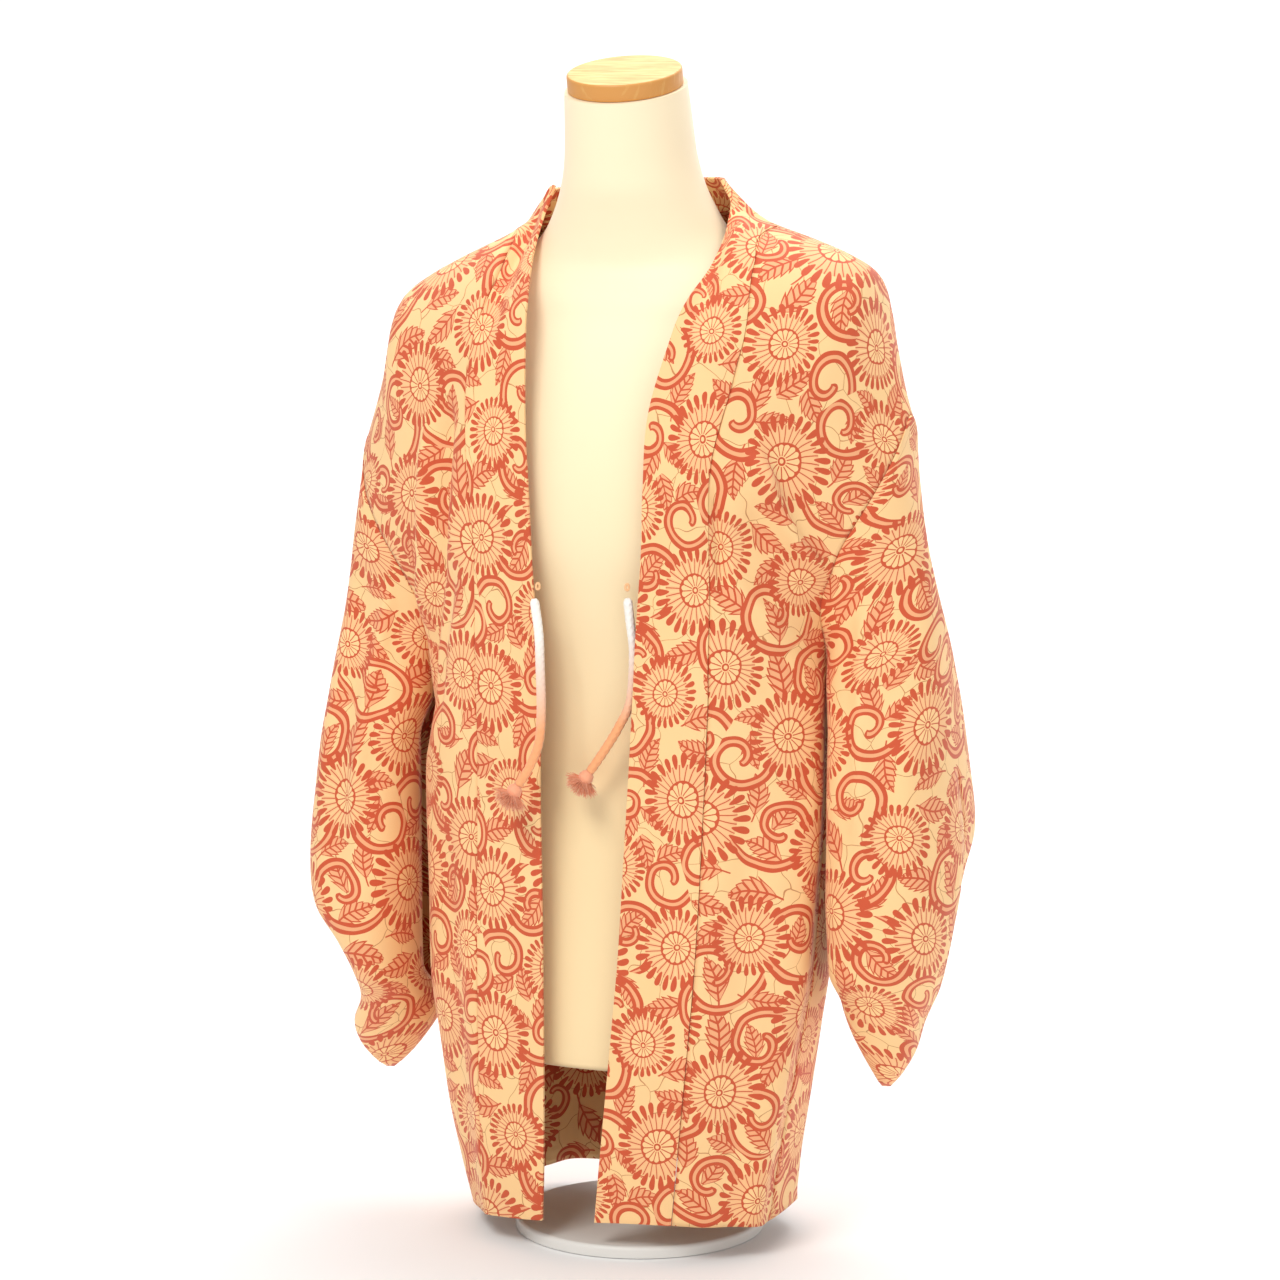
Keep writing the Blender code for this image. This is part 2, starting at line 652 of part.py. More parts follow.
def cloth_piece(name, grid, wall, material, collection):
    """A sheet through the grid's points, thickened evenly to both sides."""
    bm = bmesh.new()
    vertices = [[bm.verts.new(leant(point)) for point in line] for line in grid]
    for upper, lower in zip(vertices, vertices[1:]):
        for k in range(len(upper) - 1):
            bm.faces.new((upper[k], lower[k], lower[k + 1], upper[k + 1]))
    mesh = bpy.data.meshes.new(name)
    bm.to_mesh(mesh)
    bm.free()
    shade(mesh)
    obj = add_object(name, mesh, material, collection)
    solidify = obj.modifiers.new("wall", "SOLIDIFY")
    solidify.thickness = wall
    solidify.offset = 0.0
    solidify.use_even_offset = True
    return obj


def loft(name, rings, material, collection):
    """A closed body through rings of equal count, with flat ends."""
    bm = bmesh.new()
    loops = [[bm.verts.new(point) for point in ring] for ring in rings]
    count = len(loops[0])
    for lower, upper in zip(loops, loops[1:]):
        for k in range(count):
            following = (k + 1) % count
            bm.faces.new((lower[k], lower[following], upper[following], upper[k]))
    bm.faces.new(list(reversed(loops[0])))
    bm.faces.new(loops[-1])
    bmesh.ops.recalc_face_normals(bm, faces=bm.faces)
    mesh = bpy.data.meshes.new(name)
    bm.to_mesh(mesh)
    bm.free()
    shade(mesh)
    return add_object(name, mesh, material, collection)


def turned(name, profile, centre, tilt, material, collection, steps=40):
    """A turned piece from a profile of radius and height, top to bottom."""
    mesh = bpy.data.meshes.new(name)
    bm = bmesh.new()
    points = [bm.verts.new((radius, 0.0, height)) for radius, height in profile]
    for upper, lower in zip(points, points[1:]):
        bm.edges.new((upper, lower))
    bm.to_mesh(mesh)
    bm.free()
    obj = add_object(name, mesh, material, collection)
    obj.location = centre
    obj.rotation_euler = (tilt, 0.0, 0.0)
    screw = obj.modifiers.new("turn", "SCREW")
    screw.steps = steps
    screw.render_steps = steps
    screw.use_merge_vertices = True
    screw.merge_threshold = 0.00001
    screw.use_smooth_shade = True
    return obj


# -------------------------------------------------------------------- form and stand
def form_ring(row):
    z, half, front, back, centre, exponent = row
    ring = []
    for k in range(FORM_SIDES):
        angle = 2 * math.pi * k / FORM_SIDES
        x = half * power(math.cos(angle), 2 / exponent)
        y = power(math.sin(angle), 2 / exponent)
        y *= back if y > 0 else front
        ring.append(Vector((x, centre + y, z)))
    return ring


def top_ring(row, lift):
    """The last ring of the neck, cut to the cap's tilt."""
    ring = form_ring(row)
    for point in ring:
        point.z += math.tan(CAP_TILT) * (point.y - CAP_CENTRE[1]) + lift
    return ring


def build_form(collection):
    rings = [form_ring(row) for row in FORM[:-1]]
    rings.append(top_ring(FORM[-1], CAP_CENTRE[2] - SEAM * 1.2 - FORM[-1][0]))
    loft("form_torso", rings, "satin", collection)
    profile = (
        (0.0, CAP_HEIGHT),
        (CAP_RADIUS - CAP_BEVEL, CAP_HEIGHT),
        (CAP_RADIUS, CAP_HEIGHT - CAP_BEVEL),
        (CAP_RADIUS, 0.0),
        (0.0, 0.0),
    )
    turned("form_neck_cap", profile, CAP_CENTRE, CAP_TILT, "pale_wood", collection)


def build_stand(collection):
    base = (
        (0.0, BASE_HEIGHT),
        (BASE_RADIUS - BASE_BEVEL, BASE_HEIGHT),
        (BASE_RADIUS, BASE_HEIGHT - BASE_BEVEL),
        (BASE_RADIUS, 0.0),
        (0.0, 0.0),
    )
    turned("stand_base", base, (0, 0, 0), 0.0, "white_metal", collection)
    pole = (
        (0.0, FORM_BOTTOM - SEAM),
        (POLE_RADIUS, FORM_BOTTOM - SEAM),
        (POLE_RADIUS, BASE_HEIGHT + SEAM),
        (0.0, BASE_HEIGHT + SEAM),
    )
    turned("stand_pole", pole, (0, 0, 0), 0.0, "white_metal", collection, steps=20)


# --------------------------------------------------------------- cords and tassels
def curve_through(points, count):
    """Evenly shared points on a smooth curve through the route's own points."""
    points = [Vector(p) for p in points]
    padded = [points[0] * 2 - points[1], *points, points[-1] * 2 - points[-2]]
    fine = []
    for i in range(1, len(padded) - 2):
        for k in range(24):
            share = k / 24
            p0, p1, p2, p3 = padded[i - 1 : i + 3]
            fine.append(
                0.5
                * (
                    2 * p1
                    + (p2 - p0) * share
                    + (2 * p0 - 5 * p1 + 4 * p2 - p3) * share**2
                    + (3 * p1 - p0 - 3 * p2 + p3) * share**3
                )
            )
    fine.append(points[-1])
    lengths = [0.0]
    for a, b in zip(fine, fine[1:]):
        lengths.append(lengths[-1] + (b - a).length)
    found = []
    for k in range(count):
        want = lengths[-1] * k / (count - 1)
        i = max(j for j in range(len(fine) - 1) if lengths[j] <= want + 1e-12)
        share = (want - lengths[i]) / (lengths[i + 1] - lengths[i])
        found.append(fine[i].lerp(fine[i + 1], share))
    return found


def tube(name, points, radius, material, collection, closed=False, resolution=2):
    curve = bpy.data.curves.new(name, "CURVE")
    curve.dimensions = "3D"
    curve.bevel_depth = radius
    curve.bevel_resolution = resolution
    curve.use_fill_caps = True
    spline = curve.splines.new("POLY")
    spline.points.add(len(points) - 1)
    for control, point in zip(spline.points, points):
        control.co = (*point, 1.0)
    spline.use_cyclic_u = closed
    return add_object(name, curve, material, collection)


def build_cord(side, collection):
    route = curve_through(CORD_ROUTES[side], CORD_POINTS)
    tube("cord_" + side, route, CORD_DIAMETER / 2, "braid", collection)


def build_loop(side, collection):
    centre = Vector(LOOP_CENTRES[side])
    points = []
    for k in range(LOOP_POINTS):
        angle = 2 * math.pi * k / LOOP_POINTS
        turn = Vector((0.55 * math.cos(angle), 0.2 * math.cos(angle), math.sin(angle)))
        points.append(centre + turn * LOOP_RADIUS)
    tube("loop_" + side, points, LOOP_WIRE, "silk_collar", collection, closed=True)


def build_tassel(side, collection):
    """A small head at the cord's end, with strands rooted in it."""
    route = curve_through(CORD_ROUTES[side], CORD_POINTS)
    end = route[-1]
    along = (route[-1] - route[-3]).normalized()
    across = along.cross(Vector((0, 1, 0))).normalized()
    beside = along.cross(across)
    bm = bmesh.new()
    centre = end + along * (TASSEL_HEAD + SEAM)
    bmesh.ops.create_uvsphere(bm, u_segments=12, v_segments=8, radius=TASSEL_HEAD)
    for vertex in bm.verts:
        vertex.co = centre + along * vertex.co.z + across * vertex.co.x + beside * vertex.co.y
    head = bpy.data.meshes.new("head_" + side)
    bm.to_mesh(head)
    bm.free()
    obj = add_object("tassel_" + side, head, "tassel_silk", collection)
    golden = math.pi * (3 - math.sqrt(5))
    strands = bmesh.new()
    for k in range(STRANDS):
        share = (k + 0.5) / STRANDS
        spread = STRAND_SPREAD * math.sqrt(share)
        turn = golden * k
        direction = along * math.cos(spread)
        direction += across * (math.sin(spread) * math.cos(turn))
        direction += beside * (math.sin(spread) * math.sin(turn))
        root = centre + direction * (TASSEL_HEAD * STRAND_ROOT)
        uneven = 0.82 + 0.18 * math.cos(3.1 * k)
        tip = centre + direction * (TASSEL_HEAD + STRAND_LENGTH * uneven)
        tip.z -= STRAND_DROOP * (1.0 - math.cos(spread))
        side_a = direction.orthogonal().normalized() * STRAND_RADIUS
        side_b = direction.cross(side_a)
        ring = []
        for place, size in ((root, 1.0), (tip, 0.7)):
            corners = []
            for m in range(3):
                angle = 2 * math.pi * m / 3
                offset = (side_a * math.cos(angle) + side_b * math.sin(angle)) * size
                corners.append(strands.verts.new(place + offset))
            ring.append(corners)
        for m in range(3):
            n = (m + 1) % 3
            strands.faces.new((ring[0][m], ring[0][n], ring[1][n], ring[1][m]))
        strands.faces.new(list(reversed(ring[0])))
        strands.faces.new(ring[1])
    bmesh.ops.recalc_face_normals(strands, faces=strands.faces)
    mesh = bpy.data.meshes.new("strands_" + side)
    strands.to_mesh(mesh)
    strands.free()
    cutter = bpy.data.objects.new("strands_" + side, mesh)
    cutter.hide_render = True
    cutter.display_type = "WIRE"
    bpy.data.collections["cutters"].objects.link(cutter)
    union = obj.modifiers.new("roots", "BOOLEAN")
    union.operation = "UNION"
    union.solver = "EXACT"
    union.use_self = True
    union.object = cutter


# --------------------------------------------------------------------------- the part
def build_jacket(collection):
    for side in ("right", "left"):
        cloth_piece("front_" + side, front_grid(side), CLOTH, "silk", collection)
        cloth_piece("back_" + side, back_grid(side), CLOTH, "silk", collection)
        cloth_piece("gusset_" + side, gusset_grid(side), CLOTH, "silk", collection)
        cloth_piece(
            "collar_" + side, collar_front_grid(side), COLLAR_WALL, "silk_collar", collection
        )
        for face in ("front", "back"):
            grid = sleeve_grid(side, face)
            cloth_piece("sleeve_" + face + "_" + side, grid, CLOTH, "silk", collection)
        build_loop(side, collection)
        build_cord(side, collection)
        build_tassel(side, collection)
    cloth_piece("collar_back", collar_back_grid(), COLLAR_WALL, "silk_collar", collection)


def clear_scene():
    for obj in list(bpy.data.objects):
        bpy.data.objects.remove(obj, do_unlink=True)


def main():
    clear_scene()
    jacket = bpy.data.collections.new("haori_on_dress_form")
    cutters = bpy.data.collections.new("cutters")
    bpy.context.scene.collection.children.link(jacket)
    bpy.context.scene.collection.children.link(cutters)
    build_form(jacket)
    build_stand(jacket)
    build_jacket(jacket)


main()
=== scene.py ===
"""Looks of the haori jacket on its dress form, laid out as a Blender add-on.

Metres, +Z up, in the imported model's frame: the wearer faces -Y and the wearer's left
is +X. Each operator makes one piece or one group of like pieces.
"""

import math

import bmesh
import bpy
import numpy as np
from bpy.props import FloatProperty, FloatVectorProperty, IntProperty, PointerProperty
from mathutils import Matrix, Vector, noise


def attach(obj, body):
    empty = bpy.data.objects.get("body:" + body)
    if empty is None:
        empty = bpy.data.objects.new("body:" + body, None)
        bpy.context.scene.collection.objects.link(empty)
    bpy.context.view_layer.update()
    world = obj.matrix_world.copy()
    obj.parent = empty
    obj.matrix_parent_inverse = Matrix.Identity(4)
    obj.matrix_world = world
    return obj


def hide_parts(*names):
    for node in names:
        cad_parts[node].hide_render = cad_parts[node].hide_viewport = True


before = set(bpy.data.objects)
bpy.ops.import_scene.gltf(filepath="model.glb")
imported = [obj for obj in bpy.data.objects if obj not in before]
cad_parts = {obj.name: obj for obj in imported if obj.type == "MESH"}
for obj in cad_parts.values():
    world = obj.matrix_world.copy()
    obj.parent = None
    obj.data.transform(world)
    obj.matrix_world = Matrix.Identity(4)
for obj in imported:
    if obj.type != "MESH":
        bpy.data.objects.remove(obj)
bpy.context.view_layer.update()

bl_info = {
    "name": "Haori on a dress form",
    "version": (1, 0, 0),
    "blender": (4, 5, 0),
    "location": "3D View > Sidebar > Haori",
    "description": "Makes a printed silk haori on a limbless dress form, piece by piece",
    "category": "Add Mesh",
}

# ---------------------------------------------------------------- driving dimensions
SEAM = 0.0003  # gap between neighbouring pieces
GUSSET_BOW = 0.0012  # how far the gusset bows out between its seams
GUSSET_DROP = 0.006  # its top below the foot of the armhole
LEAN = 0.07  # rise of the cloth for each metre towards the wearer's left
SLIP = -0.005  # how far the jacket has slipped towards the wearer's right
SLIP_BELOW = 0.76  # the ends of the shoulders slip only below this height
ROUND = 2.4  # exponent of the body's oval sections

HEM = 0.030  # height of the level hem
HEM_DIP = {"right": 0.004, "left": 0.014}  # drop of the hem at the side seams
SHOULDER_EASE = 0.17  # depth over which columns leave the shoulder for the body's side
FRONT_ROLL = 0.11  # depth of the cloth's roll over the front of the shoulder
BACK_ROLL = 0.075  # and over the back
STAND_X = (0.080, 0.104)  # inside the first the collar stands up, beyond the second not
ARMHOLE = 0.215  # depth of the armhole seam below the end of the shoulder
COLLAR_WIDTH = 0.065
COLLAR_NECK = 0.0475  # the collar's width where it is folded in half at the neck
COLLAR_OPENS = 0.13  # drop over which it opens to its full width
NECKLINE_X = 0.1060  # where the neckline crosses the shoulder fold
NECKLINE_BACK = 0.851  # height of the neckline at the centre of the back
NECKLINE_SIDE = 0.8435  # and where it crosses the shoulder fold
COLLAR_TOP_X = 0.0745  # where the collar's inner edge crosses the shoulder fold
COLLAR_TOP_Z = 0.8765
COLLAR_BACK_Y = 0.060  # its inner edge behind the neck
COLLAR_BACK_Z = 0.878

BASE_RADIUS = 0.105
BASE_HEIGHT = 0.010
POLE_RADIUS = 0.013

CORD_DIAMETER = 0.0078
LOOP_RADIUS = 0.0050
STRAND_LENGTH = 0.0115
STRAND_SPREAD = math.radians(62)  # half angle of the tassel's cone
STRAND_ROOT = 0.72  # depth of the roots, as a share of the head's radius
STRAND_DROOP = 0.0020
TASSEL_HEAD = 0.0058

# The shoulder fold, from the centre of the neck out to the top of the armhole.
SHOULDER = (
    # x, z
    (0.0000, 0.8840),
    (0.0500, 0.8835),
    (0.0690, 0.8800),
    (0.0745, 0.8765),
    (0.0785, 0.8690),
    (0.0830, 0.8610),
    (0.0887, 0.8535),
    (0.1000, 0.8460),
    (0.1140, 0.8395),
    (0.1500, 0.8250),
    (0.1800, 0.8110),
    (0.2000, 0.7970),
    (0.2070, 0.7780),
    (0.2140, 0.7490),
    (0.2255, 0.7110),
    (0.2365, 0.6790),
)

# Level sections of the body's cloth.
BODY = (
    # z, half_right, half_left, front_depth, back_depth, front_edge_y, back_edge_y
    (0.0250, 0.1390, 0.1390, 0.106, 0.102, 0.034, 0.034),
    (0.0650, 0.1475, 0.1430, 0.109, 0.105, 0.032, 0.032),
    (0.1150, 0.1575, 0.1500, 0.112, 0.108, 0.029, 0.029),
    (0.1750, 0.1660, 0.1590, 0.115, 0.110, 0.026, 0.026),
    (0.2250, 0.1725, 0.1660, 0.117, 0.110, 0.023, 0.023),
    (0.3450, 0.1750, 0.1720, 0.121, 0.108, 0.017, 0.017),
    (0.4350, 0.1750, 0.1740, 0.124, 0.106, 0.012, 0.012),
    (0.4640, 0.1750, 0.1750, 0.125, 0.106, 0.011, 0.011),
    (0.5050, 0.1750, 0.1750, 0.127, 0.107, 0.028, 0.030),
    (0.5450, 0.1760, 0.1760, 0.128, 0.108, 0.042, 0.044),
    (0.5850, 0.1770, 0.1770, 0.130, 0.110, 0.048, 0.052),
    (0.6250, 0.1790, 0.1790, 0.132, 0.113, 0.046, 0.050),
    (0.6550, 0.1790, 0.1790, 0.131, 0.114, 0.036, 0.042),
    (0.6850, 0.1790, 0.1800, 0.128, 0.114, 0.024, 0.030),
    (0.7450, 0.1840, 0.1860, 0.116, 0.108, 0.018, 0.022),
    (0.8050, 0.2000, 0.2000, 0.100, 0.102, 0.024, 0.026),
    (0.8850, 0.2200, 0.2200, 0.080, 0.092, 0.024, 0.026),
)

# How far the fronts flare out beside the side edge, over the sleeve.
FLARE = (
    # z, wearer_right, wearer_left
    (0.0200, 0.0000, 0.0260),
    (0.1000, 0.0000, 0.0240),
    (0.2500, 0.0000, 0.0220),
    (0.3800, 0.0000, 0.0200),
    (0.4500, 0.0000, 0.0120),
    (0.5000, 0.0000, 0.0000),
)
FLARE_DEPTH = 0.050  # depth in front of the side edge at which the flare is full

# The collar's inner edges, down the two sides of the opening.
OPENING = (
    # z, wearer_right, wearer_left
    (0.0300, -0.0480, -0.0010),
    (0.0850, -0.0450, 0.0050),
    (0.1650, -0.0430, 0.0140),
    (0.2600, -0.0420, 0.0240),
    (0.3850, -0.0420, 0.0330),
    (0.4650, -0.0410, 0.0385),
    (0.5250, -0.0430, 0.0420),
    (0.5850, -0.0460, 0.0470),
    (0.6400, -0.0480, 0.0490),
    (0.7000, -0.0535, 0.0515),
    (0.7600, -0.0580, 0.0660),
    (0.7900, -0.0610, 0.0740),
    (0.8100, -0.0665, 0.0800),
    (0.8305, -0.0730, 0.0830),
    (0.8450, -0.0765, 0.0810),
    (0.8570, -0.0780, 0.0790),
    (0.8660, -0.0770, 0.0770),
    (0.8765, -0.0745, 0.0745),
)

# Level sections of the sleeves. Below the open side the inner edge is given too.
SLEEVES = {
    "right": (
        # z, outer_x, front_depth, back_depth, cuff_gap, inner_x, cuff_shift
        (0.1330, 0.2320, 0.004, 0.005, 0.000, 0.2250, 0.000),
        (0.1420, 0.2420, 0.012, 0.014, 0.000, 0.2140, 0.000),
        (0.1580, 0.2530, 0.024, 0.030, 0.000, 0.2000, 0.000),
        (0.1780, 0.2560, 0.037, 0.050, 0.000, 0.1880, 0.000),
        (0.2000, 0.2440, 0.050, 0.068, 0.006, 0.1850, 0.000),
        (0.2250, 0.2370, 0.058, 0.082, 0.022, 0.1870, 0.000),
        (0.2600, 0.2480, 0.066, 0.092, 0.034, 0.1880, 0.000),
        (0.2900, 0.2700, 0.070, 0.096, 0.030, 0.1880, 0.000),
        (0.3250, 0.2850, 0.070, 0.098, 0.004, 0.1880, 0.000),
        (0.3850, 0.2820, 0.066, 0.094, 0.000, 0.1880, 0.000),
        (0.4650, 0.2730, 0.052, 0.080, 0.000, 0.1880, 0.000),
        (0.5350, 0.2620, 0.038, 0.058, 0.000, 0.1880, 0.000),
        (0.5950, 0.2520, 0.028, 0.040, 0.000, 0.1880, 0.000),
        (0.6450, 0.2430, 0.014, 0.020, 0.000, 0.1880, 0.000),
        (0.6720, 0.2400, 0.004, 0.006, 0.000, 0.1880, 0.000),
    ),
    "left": (
        # z, outer_x, front_depth, back_depth, cuff_gap, inner_x, cuff_shift
        (0.1240, 0.2200, 0.004, 0.005, 0.000, 0.2130, 0.000),
        (0.1340, 0.2290, 0.012, 0.014, 0.000, 0.2080, 0.000),
        (0.1520, 0.2390, 0.024, 0.032, 0.000, 0.1990, 0.000),
        (0.1760, 0.2450, 0.038, 0.052, 0.000, 0.1890, 0.000),
        (0.2000, 0.2570, 0.052, 0.068, 0.004, 0.1830, 0.004),
        (0.2300, 0.2670, 0.060, 0.080, 0.014, 0.1790, 0.014),
        (0.2600, 0.2730, 0.066, 0.090, 0.020, 0.1775, 0.020),
        (0.2900, 0.2780, 0.070, 0.094, 0.018, 0.1765, 0.018),
        (0.3300, 0.2785, 0.070, 0.096, 0.003, 0.1765, 0.010),
        (0.3850, 0.2730, 0.066, 0.092, 0.000, 0.1765, 0.004),
        (0.4650, 0.2640, 0.052, 0.078, 0.000, 0.1765, 0.000),
        (0.5350, 0.2530, 0.038, 0.056, 0.000, 0.1765, 0.000),
        (0.5950, 0.2405, 0.028, 0.040, 0.000, 0.1765, 0.000),
        (0.6450, 0.2325, 0.014, 0.020, 0.000, 0.1765, 0.000),
        (0.6720, 0.2310, 0.004, 0.006, 0.000, 0.1765, 0.000),
    ),
}
SLEEVE_CLEAR = 0.0003  # between the body's side and the sleeve's inner edge
CUFF_TUCK = {"right": 0.0, "left": 0.9}  # set-back of the cuff's back edge for its gap
FURI_OPENS = 0.03  # length over which it opens out
FURI_HALF = 0.024  # half the width of the sleeve's open side, next to the body
FURI_BLEND = 0.05  # length over which the open side closes up to the armhole
ARMHOLE_BLEND = 0.11  # height over which the sleeve's rounded top begins
SLEEVE_TOP = 0.035  # height over which the sleeve narrows to the end of the shoulder
FURI_TOP = 0.425  # height of the top of the open side
FURI_CLOSED = 0.200  # height below which the sleeve's inner side is sewn shut

# The largest folds, as soft ridges (+) or troughs (-) on the front or back.
FOLDS = (
    # piece, path of x and z, width, height
    (
        "front_right",
        ((0.127, 0.720), (0.135, 0.600), (0.158, 0.505), (0.172, 0.415)),
        0.009,
        -0.011,
    ),
    ("front_left", ((0.126, 0.675), (0.143, 0.626), (0.156, 0.589), (0.180, 0.553)), 0.012, 0.010),
    ("front_left", ((0.118, 0.615), (0.140, 0.570), (0.156, 0.525)), 0.018, -0.006),
    ("front_left", ((0.140, 0.405), (0.120, 0.015)), 0.016, -0.006),
    ("front_right", ((0.140, 0.365), (0.122, 0.015)), 0.015, -0.005),
    ("back_right", ((0.120, 0.685), (0.085, 0.015)), 0.017, 0.009),
    ("back_right", ((0.075, 0.625), (0.050, 0.015)), 0.015, -0.007),
    ("back_right", ((0.040, 0.505), (0.018, 0.015)), 0.014, 0.006),
    ("back_left", ((0.110, 0.685), (0.078, 0.015)), 0.016, 0.008),
    ("back_left", ((0.070, 0.585), (0.042, 0.015)), 0.014, -0.007),
    ("back_left", ((0.145, 0.545), (0.118, 0.015)), 0.014, -0.006),
    ("sleeve_front_right", ((0.236, 0.585), (0.242, 0.285)), 0.014, -0.006),
    ("sleeve_front_left", ((0.232, 0.585), (0.238, 0.285)), 0.016, -0.003),
    ("sleeve_back_right", ((0.230, 0.585), (0.234, 0.205)), 0.012, -0.014),
    ("sleeve_back_left", ((0.230, 0.585), (0.238, 0.205)), 0.012, -0.014),
)
FOLD_END = 0.045  # length over which a fold dies out

# Level sections of the dress form, from its base up to the neck.
FORM = (
    # z, half_width, front_depth, back_depth, centre_y, exponent
    (0.1550, 0.1360, 0.0960, 0.0930, -0.002, 2.3),
    (0.2150, 0.1410, 0.0980, 0.0960, -0.001, 2.3),
    (0.2850, 0.1410, 0.0980, 0.0960, 0.000, 2.3),
    (0.3650, 0.1340, 0.0960, 0.0900, 0.000, 2.3),
    (0.4350, 0.1260, 0.0940, 0.0840, 0.000, 2.3),
    (0.4950, 0.1250, 0.0970, 0.0840, 0.000, 2.3),
    (0.5450, 0.1350, 0.1060, 0.0870, 0.000, 2.3),
    (0.5950, 0.1460, 0.1170, 0.0930, 0.000, 2.3),
    (0.6350, 0.1520, 0.1190, 0.0970, 0.000, 2.3),
    (0.6750, 0.1570, 0.1120, 0.0980, 0.000, 2.3),
    (0.7150, 0.1660, 0.1000, 0.0950, 0.000, 2.3),
    (0.7500, 0.1740, 0.0860, 0.0860, 0.000, 2.4),
    (0.7700, 0.1720, 0.0760, 0.0770, 0.000, 2.4),
    (0.7900, 0.1650, 0.0680, 0.0690, 0.000, 2.3),
    (0.8050, 0.1340, 0.0590, 0.0620, 0.000, 2.2),
    (0.8160, 0.1070, 0.0550, 0.0580, 0.000, 2.1),
    (0.8270, 0.0905, 0.0530, 0.0550, -0.002, 2.0),
    (0.8380, 0.0795, 0.0520, 0.0530, -0.004, 2.0),
    (0.8500, 0.0720, 0.0520, 0.0510, -0.007, 2.0),
    (0.8620, 0.0660, 0.0530, 0.0505, -0.010, 2.0),
    (0.8750, 0.0605, 0.0545, 0.0515, -0.014, 2.0),
    (0.8900, 0.0565, 0.0530, 0.0525, -0.018, 2.0),
    (0.9050, 0.0540, 0.0520, 0.0520, -0.022, 2.0),
    (0.9420, 0.0500, 0.0500, 0.0500, -0.033, 2.0),
)
FORM_BOTTOM = FORM[0][0]
CAP_RADIUS = 0.0470
CAP_HEIGHT = 0.0140
CAP_TILT = math.radians(13.7)
CAP_CENTRE = (0.0, -0.0340, 0.9570)  # middle of the cap's underside

# The two cords, from their loops down to their tassels.
CORD_ROUTES = {
    "right": (
        (-0.0400, -0.1385, 0.5520),
        (-0.0360, -0.1390, 0.5250),
        (-0.0350, -0.1385, 0.4960),
        (-0.0346, -0.1375, 0.4610),
        (-0.0362, -0.1390, 0.4350),
        (-0.0435, -0.1410, 0.4150),
        (-0.0525, -0.1430, 0.4000),
    ),
    "left": (
        (0.0345, -0.1240, 0.5540),
        (0.0352, -0.1200, 0.5350),
        (0.0368, -0.1165, 0.5080),
        (0.0340, -0.1160, 0.4700),
        (0.0245, -0.1170, 0.4480),
        (0.0130, -0.1175, 0.4290),
        (0.0000, -0.1180, 0.4100),
    ),
}
LOOP_CENTRES = {
    "right": (-0.0385, -0.1340, 0.5615),
    "left": (0.0355, -0.1275, 0.5635),
}

# Finer creases of the silk, on all sides.
CREASES = (
    # piece, path of x and z, width, height
    ("front_right", ((0.095, 0.760), (0.110, 0.640), (0.128, 0.560)), 0.010, 0.0022),
    ("front_left", ((0.095, 0.770), (0.112, 0.700), (0.122, 0.650)), 0.010, 0.0020),
    (
        "front_left",
        ((0.134, 0.668), (0.144, 0.628), (0.158, 0.588), (0.178, 0.560)),
        0.0060,
        0.0120,
    ),
    ("front_left", ((0.136, 0.640), (0.150, 0.592), (0.168, 0.556)), 0.0100, -0.0130),
    ("front_left", ((0.110, 0.650), (0.112, 0.600), (0.116, 0.540)), 0.005, -0.0070),
    ("front_left", ((0.120, 0.560), (0.150, 0.520), (0.170, 0.500)), 0.009, 0.0070),
    ("front_left", ((0.128, 0.500), (0.150, 0.470), (0.168, 0.460)), 0.009, -0.0040),
    ("front_left", ((0.100, 0.300), (0.092, 0.030)), 0.010, 0.0016),
    ("front_right", ((0.142, 0.700), (0.152, 0.600), (0.168, 0.520)), 0.007, 0.0080),
    ("front_right", ((0.120, 0.590), (0.136, 0.520), (0.150, 0.440)), 0.009, -0.0075),
    ("sleeve_front_right", ((0.206, 0.560), (0.222, 0.460), (0.226, 0.350)), 0.007, 0.0065),
    ("sleeve_front_right", ((0.258, 0.480), (0.262, 0.380)), 0.009, 0.0040),
    ("sleeve_front_left", ((0.206, 0.540), (0.214, 0.440), (0.218, 0.330)), 0.008, 0.0065),
    ("sleeve_front_left", ((0.250, 0.430), (0.256, 0.300)), 0.009, 0.0040),
    ("front_right", ((0.112, 0.300), (0.100, 0.030)), 0.009, 0.0016),
    ("back_right", ((0.150, 0.600), (0.060, 0.640)), 0.012, 0.0020),
    ("back_left", ((0.150, 0.590), (0.050, 0.650)), 0.012, 0.0020),
    ("back_right", ((0.100, 0.350), (0.090, 0.030)), 0.010, 0.0024),
    ("back_left", ((0.120, 0.330), (0.105, 0.030)), 0.010, 0.0022),
)
FOLD_REACH = 3.0  # widths beyond which a fold moves nothing
FOLD_LEAD = 0.010  # how far a fold starts before its path
FOLD_GROWS = 0.05  # drop below the shoulder over which folds reach their full height
RIPPLE = 0.00112  # height of the silk's slight unevenness
RIPPLE_FIT = (26.0, 11.0)  # its swells for each metre, across and down
SEAM_DEPTH = 0.0004  # how far a seam draws the cloth in
SEAM_WIDTH = 0.0022
SLIP_BLEND = 0.08  # height over which the slip sets in at the shoulders' ends
STAND_STEEP = {"front": 1.35, "back": 1.1}  # how steeply the cloth rises to the neck
SLEEVE_TOP_REACH = 0.0015  # how far the sleeve's top reaches past the shoulder's end
SLEEVE_SWELL = 1.2  # above 1 the sleeve stays close to the body for longer
SLEEVE_FOLDS_RISE = 1.5  # how soon its folds reach their full height from its edges
RIPPLE_LEVELS = (7.0, 13)  # step and number of the noise's levels for the pieces

SIDES = ("right", "left")

# The columns of BODY, FLARE and OPENING that belong to a side or a face.
OWN = {"right": 1, "left": 2}
DEPTH = {"front": 3, "back": 4}
EDGE = {"front": 5, "back": 6}

